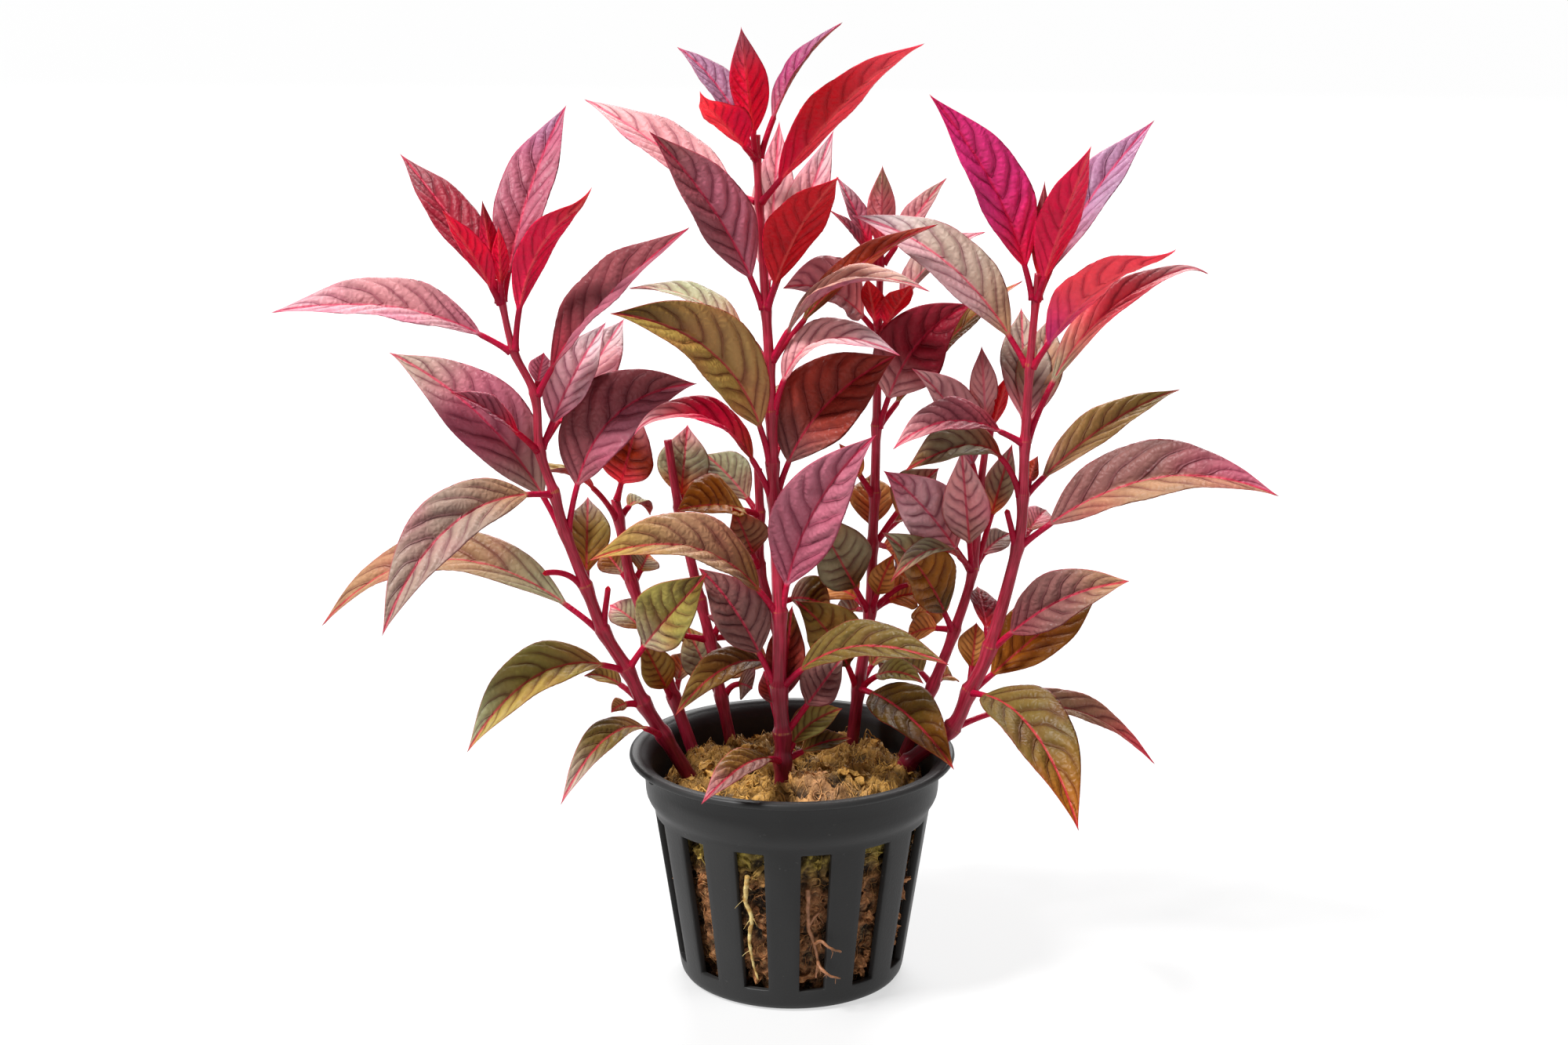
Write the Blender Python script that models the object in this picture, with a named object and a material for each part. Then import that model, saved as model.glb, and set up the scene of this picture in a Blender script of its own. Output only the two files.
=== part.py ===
"""Sessile joyweed: a bunch of red and green leafy stems growing in a slotted net pot.

The front of the plant faces -Y and the pot's foot stands on z = 0, centred on the
origin. All dimensions are in millimetres and become metres when a mesh is made.
"""
import math
import random
from collections import namedtuple

import bpy
from mathutils import Vector

MM = 0.001
GAP = 0.3

# Net pot
RIM_RADIUS = 26.0
RIM_TOP = 37.5
RIM_INNER_RADIUS = 24.2
FLANGE_THICKNESS = 1.0
COLLAR_RADIUS = 23.6
COLLAR_FOOT = 29.0
WALL_TOP_RADIUS = 22.0
SLOT_TOP = 27.6
WALL_FOOT_RADIUS = 18.4
SLOT_FOOT = 3.6
WALL = 1.2
FOOT_RADIUS = 17.2
FOOT_EDGE = 1.5
SLOTS = 13
SLOT_HALF_ANGLE = 6.3
FIRST_SLOT_ANGLE = 9.8

# Growing medium
MEDIUM_LEVEL = 33.5
MEDIUM_SIDES = 24
SOCKET_FLOOR = 24.5
SOCKET_TOP = 46.0

# Stems and leaves
STEM_SIDES = 6
NODE_SWELL = 1.28
NODE_BELOW = 1.2
PETIOLE_RADIUS = 0.45
RIB_THICKNESS = 0.75
TIP_THICKNESS = 0.3
WIDEST = 0.42
TIP_TAPER = 1.4
BLADE_STATIONS = (0.0, 0.16, 0.38, 0.62, 0.85)
SMALL_STATIONS = (0.0, 0.34, 0.72)

# Colour of each kind of leaf, taken at the middle of its upper side
TONES = {
    "bronze": (0.30, 0.14, 0.09),
    "brown_rose": (0.30, 0.13, 0.10),
    "coral": (0.62, 0.05, 0.06),
    "crimson": (0.55, 0.01, 0.05),
    "dark_crimson": (0.33, 0.02, 0.05),
    "dusky": (0.20, 0.06, 0.09),
    "golden": (0.42, 0.22, 0.05),
    "green": (0.20, 0.19, 0.06),
    "lilac": (0.55, 0.22, 0.38),
    "magenta": (0.48, 0.02, 0.17),
    "mauve": (0.42, 0.12, 0.20),
    "olive": (0.24, 0.17, 0.07),
    "pale_olive": (0.45, 0.38, 0.25),
    "pale_pink": (0.68, 0.36, 0.40),
    "plum": (0.16, 0.02, 0.05),
    "rose": (0.50, 0.16, 0.22),
    "silver": (0.50, 0.36, 0.32),
}

Stem = namedtuple("Stem", "name foot_radius top_radius route")
Leaf = namedtuple("Leaf", "name node tip width rise face tone petiole fold", defaults=(3.0, 24.0))

# Each route runs through the stem's swollen nodes, from inside the medium to the top
STEMS = (
    Stem("stem_front_left", 1.5, 0.55, (
        (-13.0, 1.5, 26), (-20.5, -2, 40.5), (-23.5, -3, 46), (-26, -4, 52), (-29.5, -5, 58.5),
        (-32, -6, 66), (-35, -7, 75), (-36.5, -8, 81.5), (-38.5, -8.5, 88.5), (-39, -9, 97),
        (-42, -9.5, 104), (-43.5, -10, 111.5), (-44.2, -10, 115))),
    Stem("stem_front_centre", 1.55, 0.6, (
        (-1.5, -9, 26), (-1.5, -9, 38.5), (-1.5, -9, 43), (-2, -9, 50.5), (-2, -8.5, 62.5),
        (-2.8, -8, 81), (-3, -8, 86), (-3.2, -8, 94), (-3.5, -7.5, 102), (-4, -7, 110),
        (-5, -6.2, 126), (-5.3, -6, 132.5), (-5.3, -6, 136))),
    Stem("stem_front_right", 1.5, 0.6, (
        (13.2, 1, 27), (18.6, -0.2, 35), (25.3, -2, 41.5), (28, -3, 48), (31, -4, 55.5), (35, -5, 72.5),
        (35.5, -5.8, 80.5), (35.6, -6.2, 89), (36, -7, 101), (36.6, -7.8, 111.5), (36.8, -8, 115.5))),
    Stem("stem_back_right", 1.25, 0.6, (
        (9.2, 13.5, 26), (11, 14, 43), (12.8, 15, 56), (13.1, 15.2, 67), (13.4, 15.5, 75.5),
        (13.6, 15.8, 86.5), (13.8, 16, 102), (14, 16, 113), (14, 16, 117))),
    Stem("stem_mid_right", 1.25, 0.65, (
        (15.2, 6.5, 26), (22.8, 7.5, 45.5), (26.3, 10, 54), (29.2, 11, 64), (30.2, 12, 77), (31.2, 12, 86))),
    Stem("stem_back_left_inner", 1.25, 0.8, (
        (-8.5, 12.5, 26), (-11.6, 15.2, 41), (-13.5, 17, 50.5), (-15, 18.5, 56.5),
        (-18.5, 21, 71.5), (-20.3, 22, 83))),
    Stem("stem_back_left_outer", 1.25, 0.9, (
        (-13.5, 8.5, 26), (-19.3, 13, 41.5), (-22.5, 15.5, 50.5), (-26.3, 19, 59.5),
        (-28.5, 21.5, 70), (-29, 22, 73))),
    Stem("stem_back_centre", 1.2, 0.8, (
        (-2, 13, 26), (-1.5, 14, 46.5), (-3.5, 15.5, 56), (-5.2, 17, 63),
        (-5.2, 18, 71.5), (-5.5, 18.5, 79))),
)

# Leaves that are pieces of their own: tip in millimetres, then the full width, how far the
# midrib rises off the straight line near its base and near its tip, and where the upper
# side faces
LEAVES = {
    "stem_front_left": (
        Leaf("leaf_left_low_brown", 1, (-35, -26, 37.5), 6, (8, 7), (0, -0.5, 0.85), "brown_rose"),
        Leaf("leaf_left_green_fold", 3, (-49, -25, 45.5), 9.5, (8.5, 8), (0, -0.6, 0.8), "green"),
        Leaf("leaf_left_green_upright", 3, (-13, -12, 70), 11, (1, 0), (-0.3, -0.9, 0.3), "green", 3.5),
        Leaf("leaf_left_olive_arch", 4, (-75.5, 6, 56), 10.5, (14, 16), (0, -0.5, 0.87), "olive", 5),
        Leaf("leaf_left_bronze_wide", 6, (-62.5, 2, 101.5), 13, (5, 5), (0.3, -0.85, 0.45), "bronze", 5),
        Leaf("leaf_left_plum_wide", 6, (-14.5, -5, 98), 13.5, (6.6, 10), (-0.35, -0.8, 0.45), "plum", 6),
        Leaf("leaf_left_drooping", 7, (-60.5, -29, 65), 10.5, (10, 8.5), (-0.1, -0.8, 0.6), "bronze"),
        Leaf("leaf_left_silver", 8, (-28.5, -2, 107), 8.8, (1, 1), (-0.3, -0.9, 0.3), "silver"),
        Leaf("leaf_left_plum_up", 9, (-15, -18, 124), 11.6, (3.6, 1.6), (-0.6, -0.5, 0.6), "plum", 3.5),
        Leaf("leaf_left_long_pink", 10, (-77, -16, 111), 10, (5.3, 4.2), (0, -0.55, 0.83), "rose", 4),
        Leaf("leaf_left_crimson_front", 10, (-28.5, -25, 129), 6, (7, 6), (-0.2, 0.8, 0.55), "crimson", 5),
        Leaf("leaf_left_top_dark", 11, (-60.5, 8, 131.5), 8, (2, 1), (0.3, -0.75, 0.6), "dark_crimson"),
        Leaf("leaf_left_top_mauve", 11, (-35, 12, 138.5), 9.5, (3.5, 3), (-0.25, -0.9, 0.35), "mauve"),
    ),
    "stem_front_centre": (
        Leaf("leaf_centre_low_rose", 1, (-13.5, -35, 41), 6, (4, 2.5), (0, -0.6, 0.8), "brown_rose", 2.5),
        Leaf("leaf_centre_dusky_left", 3, (-14.5, -9, 70), 10, (1, 2), (0.3, -0.9, 0.3), "dusky", 4.5),
        Leaf("leaf_centre_olive_right", 3, (23.5, -24, 59), 8.5, (7, 5.5), (0, -0.6, 0.8), "olive", 3),
        Leaf("leaf_centre_bronze_arch", 4, (-30, -27, 76), 11.5, (8, 8), (0, -0.6, 0.8), "bronze", 3.5),
        Leaf("leaf_centre_mauve_front", 4, (12.5, -18, 93), 12, (4.4, 4.1), (-0.25, -0.95, 0.2), "mauve", 3),
        Leaf("leaf_centre_red_curl", 5, (-24.5, -14, 93), 7.5, (6.8, 10.2), (0, -0.4, 0.9), "coral", 5),
        Leaf("leaf_centre_maroon_wide", 5, (16, -3, 102), 14.5, (5, 4.3), (-0.3, -0.85, 0.4), "dusky", 4),
        Leaf("leaf_centre_olive_gold", 6, (-26.5, -25, 112.5), 12.5, (9, 8), (0.2, -0.8, 0.55), "golden", 5),
        Leaf("leaf_centre_rose_arch", 7, (16, -16, 104.5), 7.5, (9.8, 8.5), (0, -0.5, 0.85), "rose", 4),
        Leaf("leaf_centre_pale_arch", 8, (-25.5, 8, 110.5), 6.5, (4, 4.5), (0, -0.25, 0.95), "pale_olive", 4),
        Leaf("leaf_centre_pink_arch", 8, (20, -21, 115), 7, (8, 8.5), (0, -0.3, 0.95), "rose", 4),
        Leaf("leaf_centre_plum_up", 9, (-21, -14, 137.5), 10.6, (2.5, 2), (0.35, -0.85, 0.4), "plum", 4),
        Leaf("leaf_centre_red_up", 9, (6.5, -27, 132.5), 9.5, (3, 2.5), (-0.2, 0.85, 0.5), "coral", 3.5, 20),
        Leaf("leaf_centre_red_long", 10, (18.5, -25, 151), 8.5, (1, 4), (-0.3, 0.75, 0.55), "coral", 3.5),
        Leaf("leaf_centre_pink_left", 10, (-32.5, 16, 139), 9.5, (-2.2, 0.5), (0.3, -0.7, 0.65), "pale_pink"),
        Leaf("leaf_centre_pale_back", 9, (-2, 18, 135.5), 7.5, (0, 0), (0, -0.8, 0.6), "pale_pink"),
    ),
    "stem_front_right": (
        Leaf("leaf_right_low_rose", 2, (60.5, 16, 29), 7, (9.5, 7.5), (0, -0.5, 0.85), "rose", 5),
        Leaf("leaf_right_hanging_olive", 3, (42.5, -33, 36), 12, (8, 8), (0.2, -0.8, 0.6), "olive", 2.5),
        Leaf("leaf_right_olive_wide", 3, (50.5, 10, 62.5), 11.6, (0, 0.5), (-0.3, -0.8, 0.5), "olive", 2.5),
        Leaf("leaf_right_purple", 4, (52, -14, 69), 9.5, (2.4, 3.6), (-0.3, -0.8, 0.5), "mauve", 2.5),
        Leaf("leaf_right_long_bronze", 5, (73.5, -14, 82.5), 12.5, (7, 9.6), (0, -0.6, 0.8), "bronze", 4),
        Leaf("leaf_right_olive_slim", 6, (61.5, 10, 94), 7, (2.6, 2.9), (0, -0.5, 0.85), "olive", 2.5),
        Leaf("leaf_right_bronze_slim", 7, (66.5, 14, 113.5), 6.5, (10, 9), (-0.4, -0.6, 0.7), "bronze", 8),
        Leaf("leaf_right_plum_arch", 7, (15, -15, 90), 8, (4.2, 5.8), (0, -0.5, 0.85), "plum", 3),
        Leaf("leaf_right_coral", 8, (56, -20, 119.5), 9.5, (3.5, 6.2), (-0.3, 0.7, 0.65), "coral", 3.5, 20),
        Leaf("leaf_right_silver_long", 8, (9, 4, 122.5), 10.5, (5, 6), (0.2, -0.75, 0.6), "silver", 4),
        Leaf("leaf_right_top_magenta", 9, (20, -11, 142.5), 10.5, (3.3, 2.6), (0.35, -0.85, 0.4),
             "magenta", 4),
        Leaf("leaf_right_top_crimson", 9, (42.6, -23, 136.4), 7.5, (0.5, 0.5), (-0.2, 0.85, 0.5),
             "crimson", 3),
        Leaf("leaf_right_top_lilac", 9, (56.5, 14, 136), 8.4, (3.7, 2.2), (-0.4, -0.75, 0.5), "lilac", 3.5),
    ),
    "stem_back_right": (
        Leaf("leaf_back_right_over_rim", 1, (25, -16, 39.5), 10, (3, 3), (0, -0.75, 0.65), "olive", 2.5),
        Leaf("leaf_back_right_maroon", 5, (28.5, 11, 107.5), 12.5, (3.5, 5), (0.05, -0.9, 0.35), "dusky", 4),
        Leaf("leaf_back_right_far", 5, (38.5, 36, 107), 7.5, (2, 3), (-0.4, -0.4, 0.8), "olive", 3.5),
    ),
    "stem_mid_right": (
        Leaf("leaf_mid_right_green", 2, (14, -1, 73.5), 10.4, (1.8, 2.4), (0.3, -0.85, 0.4), "green", 2.5),
        Leaf("leaf_mid_right_mauve", 3, (14.5, 9, 81), 11, (1, 1.5), (0.3, -0.95, 0.15), "mauve", 3),
        Leaf("leaf_mid_right_rose", 4, (18.5, 2, 99), 9, (3.5, 3.5), (0.3, -0.8, 0.5), "rose", 3.5),
    ),
}

# Leaves too small or too far back for a piece of their own, fused to their stem
SMALL_LEAVES = {
    "stem_front_left": (
        Leaf("tiny", 2, (-28.5, -6, 45.5), 3, (1, 1), (0, -0.6, 0.8), "olive", 1),
        Leaf("small_back", 2, (-33.5, 5, 48), 4, (2, 2), (0, -0.5, 0.85), "olive", 3),
        Leaf("stub_upright", 4, (-28.5, -7, 66.5), 1.0, (1, 0), (0, -1, 0), "crimson", 9),
        Leaf("stub_curved", 5, (-38.5, -9, 69), 1.0, (1.5, 1.5), (0, -1, 0), "crimson", 9),
        Leaf("olive_upright", 5, (-32.5, 8, 77), 8.5, (0, 0), (0, -0.95, 0.3), "olive", 1),
        Leaf("purple_over", 8, (-50, -23, 100.5), 5.5, (1, 1), (0.2, -0.6, 0.75), "magenta", 4),
        Leaf("pale_behind", 8, (-27, 20, 103.5), 10, (0, 0), (-0.1, -0.9, 0.4), "pale_pink", 5),
        Leaf("purple_behind", 9, (-38, -3, 102.5), 4, (0, 0), (0, -1, 0.2), "mauve", 1),
        Leaf("crimson_front", 11, (-50.5, -22, 127), 5, (0.5, 0.5), (0.2, 0.8, 0.55), "crimson", 2),
        Leaf("bud_back", 11, (-46, -10.5, 127), 3.4, (0, 0), (0, 1, 0), "dark_crimson", 2),
        Leaf("bud_front", 11, (-43.3, -14, 123.5), 2.8, (0, 0), (0, 1, 0), "crimson", 2),
    ),
    "stem_front_centre": (
        Leaf("crinkled", 1, (8, -4, 45.5), 6, (3, 2), (-0.3, -0.8, 0.5), "green", 1),
        Leaf("withered", 1, (9.5, -4, 40.5), 4.5, (1, 1), (0, -0.5, 0.8), "green", 1),
        Leaf("purple_low", 2, (-4.5, -3, 51.5), 3.6, (0, 0), (0, -1, 0.2), "dusky", 3),
        Leaf("dusky_low", 2, (8, -9.5, 56), 7.5, (0, 0), (-0.3, -0.9, 0.3), "dusky", 4),
        Leaf("dark_up", 2, (0, -4, 62.5), 7, (1, 1), (-0.2, -0.9, 0.3), "dusky", 4),
        Leaf("brown_behind", 7, (-14.5, 8, 102.5), 10, (2, 2), (0, -0.8, 0.6), "dusky", 2),
        Leaf("back_hidden", 6, (4, 26, 90), 9, (5, 4), (0, -0.2, 0.95), "olive", 5),
        Leaf("brown_arch", 8, (22, -5, 122.5), 6, (3, 4), (0, -0.4, 0.9), "bronze", 6),
        Leaf("pale_back_right", 9, (6.5, 14, 134.5), 7, (0, 0), (0, -0.8, 0.6), "pale_pink", 5),
        Leaf("top_red", 11, (-13.5, -22, 143), 7.5, (0, 0.5), (0.2, 0.8, 0.55), "coral", 3),
        Leaf("top_magenta", 11, (7.5, 1, 152), 5.6, (2.5, 3.5), (-0.7, -0.3, 0.6), "lilac", 5),
        Leaf("top_lilac", 11, (-17.5, 5, 148), 6, (2.5, 2.5), (0.4, -0.75, 0.5), "lilac", 3),
        Leaf("top_bud", 11, (-7.5, -14, 152.5), 6.4, (0, 0), (0.1, 0.9, 0.4), "crimson", 3),
    ),
    "stem_front_right": (
        Leaf("brown_behind", 3, (29.5, 5, 57), 6, (1, 0), (0, -1, 0.2), "olive", 2),
        Leaf("red_behind", 4, (30, 12, 61), 5, (1, 1), (0, 0.8, 0.5), "dark_crimson", 2),
        Leaf("pink_behind", 5, (40.5, 7, 75), 5, (0, 1), (0, -0.8, 0.6), "rose", 3),
        Leaf("stub", 5, (33, -6, 78.5), 1.0, (0, 0), (0, -1, 0), "crimson", 9),
        Leaf("red_small", 6, (38, -2, 86), 3, (0, 0), (0, 0.9, 0.3), "dark_crimson", 1),
        Leaf("brown_arch", 6, (17, -12, 86), 8.5, (10.4, 5.5), (0, -0.5, 0.85), "bronze", 6),
        Leaf("pale_behind_left", 7, (36.5, 16, 106), 9, (0, 0), (0.1, -0.95, 0.2), "silver", 3),
        Leaf("pale_behind_right", 7, (41, 14, 105), 8, (0, 0), (-0.1, -0.95, 0.2), "silver", 3),
        Leaf("bud", 9, (37.5, -8, 129.5), 3.4, (0, 0), (0, 1, 0), "dark_crimson", 2),
    ),
    "stem_back_right": (
        Leaf("dark_low_left", 1, (0.5, 7, 60), 11, (2, 2), (0.2, -0.9, 0.3), "olive", 3),
        Leaf("dark_left", 2, (3.1, 6, 75.3), 11, (0, 0), (0.2, -0.9, 0.3), "olive", 4),
        Leaf("gold_behind", 2, (4, 28, 56), 10, (2, 2), (0, -0.8, 0.6), "golden", 2),
        Leaf("golden_right", 2, (22.7, 20, 50.5), 9, (10, 7), (0, -0.5, 0.8), "golden", 6),
        Leaf("tan_right", 3, (24, 19, 79), 8, (1, 1), (-0.2, -0.8, 0.5), "olive", 5),
        Leaf("gold_left", 4, (7.5, 11, 85), 4, (0, 0), (0.2, -0.9, 0.3), "golden", 3),
        Leaf("mauve_left", 6, (-1.5, 5, 111), 12, (3, 4), (0.1, -0.7, 0.7), "mauve", 3),
        Leaf("red_right", 6, (18.5, 3, 112), 5.5, (0, 0), (-0.2, 0.8, 0.5), "crimson", 2),
        Leaf("red_left", 6, (11.5, 3, 113), 4.2, (0, 0), (0.2, 0.8, 0.5), "crimson", 2),
        Leaf("far_right", 6, (31.5, 27, 116.5), 7, (3, 4), (-0.3, -0.4, 0.85), "rose", 5),
        Leaf("top_left", 7, (7, 20, 126.5), 4.2, (0, 0.5), (0.4, -0.7, 0.5), "mauve", 2),
        Leaf("top_right", 7, (24.5, 18, 126.5), 4.6, (0, 0.5), (-0.4, -0.7, 0.5), "mauve", 2),
        Leaf("top_bud", 7, (14, 10, 129.5), 5, (0, 0), (0, 0.9, 0.4), "brown_rose", 2),
        Leaf("low_left", 7, (6, 13, 122), 3, (0, 0.5), (0.3, -0.5, 0.8), "mauve", 2),
        Leaf("gold_right", 3, (18.7, 27, 56.5), 8, (3, 3), (0, -0.8, 0.6), "golden", 3),
        Leaf("olive_low", 1, (19.5, 29, 46.5), 7, (3, 3), (0, -0.7, 0.7), "olive", 3),
        Leaf("pale_arch", 3, (25, 27, 67.5), 4.5, (4, 4), (0, -0.4, 0.9), "pale_olive", 4),
        Leaf("pale_low", 2, (6.9, 27, 50.5), 6, (1, 1), (0, -0.8, 0.6), "green", 2),
        Leaf("gold_up", 2, (21, 21, 57), 7.5, (1, 1), (0, -0.8, 0.6), "golden", 2),
        Leaf("dark_low", 1, (21.2, 4, 47), 5, (3, 3), (0, -0.7, 0.7), "olive", 3),
        Leaf("olive_behind", 3, (13, 25, 76.5), 8, (1, 1), (0, -0.85, 0.5), "olive", 2),
        Leaf("umber_right", 2, (16.4, 10, 67), 5, (0.5, 0.5), (0, -0.9, 0.4), "golden", 2),
    ),
    "stem_mid_right": (
        Leaf("green_low", 1, (15.5, 23, 42), 8, (4, 3), (0, -0.4, 0.9), "green", 2),
        Leaf("rose_arch", 3, (15, -9, 67.5), 5, (6, 5), (0, -0.4, 0.9), "rose", 3),
        Leaf("mauve_upright", 3, (26.6, 4.5, 85.5), 8.5, (0, 0), (-0.1, -0.95, 0.3), "mauve", 4),
        Leaf("olive_slim", 3, (35.5, 15, 84), 5.5, (0, 0), (-0.2, -0.9, 0.3), "olive", 8),
        Leaf("pale_right", 3, (36, 21, 67.5), 4.8, (2, 1), (0, -0.8, 0.5), "silver", 2),
        Leaf("bud", 5, (29.5, 5, 102), 5, (0, 0), (0, 0.9, 0.4), "dark_crimson", 1),
        Leaf("red_left", 5, (30, 9, 94.5), 3, (0, 0), (0, 0.9, 0.2), "crimson", 1),
        Leaf("red_right", 5, (34, 8, 97), 3, (0, 0), (0, 0.9, 0.2), "crimson", 1),
        Leaf("yellow_low", 1, (26.5, 15, 44.5), 5, (1, 1), (0, -0.8, 0.6), "golden", 1),
        Leaf("golden_low", 2, (19, 18, 50.5), 6, (1, 1), (0, -0.8, 0.6), "golden", 2),
    ),
    "stem_back_left_inner": (
        Leaf("low_olive", 1, (-17.5, 20, 52), 8, (0, 0), (0, -0.8, 0.6), "olive", 1),
        Leaf("orange", 4, (-17.2, 27, 84.5), 9.5, (0, 0), (0, -0.9, 0.4), "golden", 1),
        Leaf("small_left", 2, (-20.1, 14, 52.5), 5, (0, 0), (0, -0.6, 0.8), "olive", 3),
        Leaf("small_right", 2, (-11.3, 17.5, 54.5), 4.5, (0, 0), (0, -0.6, 0.8), "brown_rose", 1),
        Leaf("tan_low", 1, (-6.5, 15, 42.5), 7, (2, 2), (0, -0.8, 0.6), "rose", 2),
        Leaf("brown_low", 2, (-6.8, 22, 47.5), 8, (1, 1), (0, -0.8, 0.6), "olive", 2),
    ),
    "stem_back_left_outer": (
        Leaf("low_green", 1, (-24.5, 8, 53.5), 6.5, (0, 0), (0, -0.8, 0.6), "green", 1),
        Leaf("red_brown_upright", 5, (-24.5, 16, 89), 10, (0, 0), (0, -0.95, 0.3), "bronze", 2),
        Leaf("tan_arch", 4, (-44, 6, 80), 4.5, (5, 6), (0, -0.1, 1), "golden", 6),
        Leaf("small_arch", 4, (-23.5, 27, 69), 4.5, (3, 3), (0, -0.2, 0.9), "olive", 1),
        Leaf("small_left", 3, (-31.5, 25, 64), 6, (0, 0), (0, -0.9, 0.4), "olive", 1),
        Leaf("small_right", 3, (-23.6, 23, 63.5), 6, (0, 0), (0, -0.9, 0.4), "olive", 1),
        Leaf("low_left", 2, (-30.5, 25, 54), 6.5, (1, 1), (0, -0.8, 0.6), "brown_rose", 2),
        Leaf("yellow_low", 1, (-17.6, 24.5, 46), 5, (1, 1), (0, -0.8, 0.6), "golden", 2),
        Leaf("grey_low", 2, (-17.6, 28, 47.5), 6.5, (1, 1), (0, -0.8, 0.6), "olive", 2),
    ),
    "stem_back_centre": (
        Leaf("olive_left", 4, (-18.5, 6, 75), 11, (1.5, 1.5), (0, -0.6, 0.8), "olive", 2),
        Leaf("pale_left", 4, (-14.5, 29, 79), 8.5, (1, 1), (0, -0.9, 0.4), "pale_olive", 2),
        Leaf("red_left", 3, (-9.5, 9, 75), 8, (0, 0), (0, -0.8, 0.5), "dark_crimson", 2),
        Leaf("low_back", 1, (-11, 25, 42), 9, (1, 1), (0, -0.7, 0.7), "olive", 2),
        Leaf("brown_low_arch", 1, (-18.5, -5, 44.5), 7, (6, 5), (0, -0.6, 0.8), "bronze", 3),
        Leaf("gold_left", 3, (-11.5, 22, 66), 7, (2, 2), (0, -0.8, 0.6), "golden", 2),
        Leaf("dark_right", 2, (6.5, 17, 55.5), 8, (3, 2), (0, -0.8, 0.6), "olive", 2),
    ),
}

# Roots as (angle from the front, radius, height), the angle in degrees towards +X
PALE_ROOT = ((-20, 20.35, 23.2), (-21.5, 19.75, 18.8), (-19, 19.35, 16), (-20.8, 18.75, 12),
             (-19.5, 18.05, 7.4), (-17.5, 17.75, 5.0))
BROWN_ROOT = ((6.8, 20.1, 21.5), (7.5, 19.25, 15.2), (10.5, 18.75, 11.8), (12.5, 18.35, 8.6), (12, 17.9, 5.6))
BROWN_BRANCHES = (
    ((7.5, 19.25, 15.2), (10.5, 19.45, 16.6), (12.8, 19.5, 17.2)),
    ((10.5, 18.75, 11.8), (12.5, 20.6, 12.8), (16, 21.5, 12), (21, 21.3, 11)),
    ((12.5, 18.35, 8.6), (12.8, 19.9, 8), (16.5, 20.6, 7), (21.5, 20.5, 6.2)),
)
ROOT_RADIUS = 0.38
BRANCH_RADIUS = 0.3
ROOT_SIDES = 4


def clear_scene():
    """Start from an empty file."""
    for old in list(bpy.data.objects):
        bpy.data.objects.remove(old, do_unlink=True)


def make_material(name, colour, roughness):
    """One Principled finish, shared by the pieces that name it."""
    found = bpy.data.materials.get(name)
    if found:
        return found
    material = bpy.data.materials.new(name)
    material.use_nodes = True
    shader = material.node_tree.nodes["Principled BSDF"]
    shader.inputs["Base Color"].default_value = (*colour, 1.0)
    shader.inputs["Roughness"].default_value = roughness
    shader.inputs["Metallic"].default_value = 0.0
    return material


def make_object(name, points, faces, material, parent, smooth=True):
    """A closed mesh object from points in millimetres, faces pointing out."""
    mesh = bpy.data.meshes.new(name)
    mesh.from_pydata([Vector(p) * MM for p in points], [], faces)
    mesh.validate()
    mesh.materials.append(material)
    if smooth:
        mesh.shade_smooth()
        mesh.set_sharp_from_angle(angle=math.radians(40))
    obj = bpy.data.objects.new(name, mesh)
    bpy.context.collection.objects.link(obj)
    obj.parent = parent
    return obj


def join_by_boolean(obj, tool, operation, solver="EXACT"):
    """Apply one Boolean to obj with tool, and remove the tool."""
    modifier = obj.modifiers.new("Boolean", "BOOLEAN")
    modifier.operation = operation
    modifier.solver = solver
    modifier.object = tool
    modifier.use_self = operation == "UNION"
    view = bpy.context.evaluated_depsgraph_get()
    mesh = bpy.data.meshes.new_from_object(obj.evaluated_get(view))
    obj.modifiers.clear()
    obj.data = mesh
    bpy.data.objects.remove(tool, do_unlink=True)


def around_pot(angle, radius, height):
    """A point by its angle from the front, in degrees towards +X."""
    turn = math.radians(angle)
    return Vector((radius * math.sin(turn), -radius * math.cos(turn), height))


def outer_wall_radius(height):
    """Outer radius of the slotted wall at a height."""
    share = (height - SLOT_FOOT) / (SLOT_TOP - SLOT_FOOT)
    return WALL_FOOT_RADIUS + (WALL_TOP_RADIUS - WALL_FOOT_RADIUS) * share


def pot_profile():
    """(radius, height) rows from the rim down the outside, then up the inside."""
    outside = [
        (RIM_INNER_RADIUS, RIM_TOP),
        (RIM_RADIUS - 0.3, RIM_TOP),
        (RIM_RADIUS, RIM_TOP - FLANGE_THICKNESS),
        (COLLAR_RADIUS + 0.1, RIM_TOP - FLANGE_THICKNESS - 0.2),
        (COLLAR_RADIUS - 0.2, COLLAR_FOOT + 2.2),
        (WALL_TOP_RADIUS + 0.3, COLLAR_FOOT),
        (WALL_TOP_RADIUS, SLOT_TOP),
        (WALL_FOOT_RADIUS, SLOT_FOOT),
        (outer_wall_radius(FOOT_EDGE), FOOT_EDGE),
        (FOOT_RADIUS, 0.0),
    ]
    inside = [
        (FOOT_RADIUS - 0.6, WALL),
        (WALL_FOOT_RADIUS - WALL, SLOT_FOOT),
        (WALL_TOP_RADIUS - WALL, SLOT_TOP),
        (COLLAR_RADIUS - WALL, RIM_TOP - 1.6),
    ]
    return outside, inside


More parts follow.
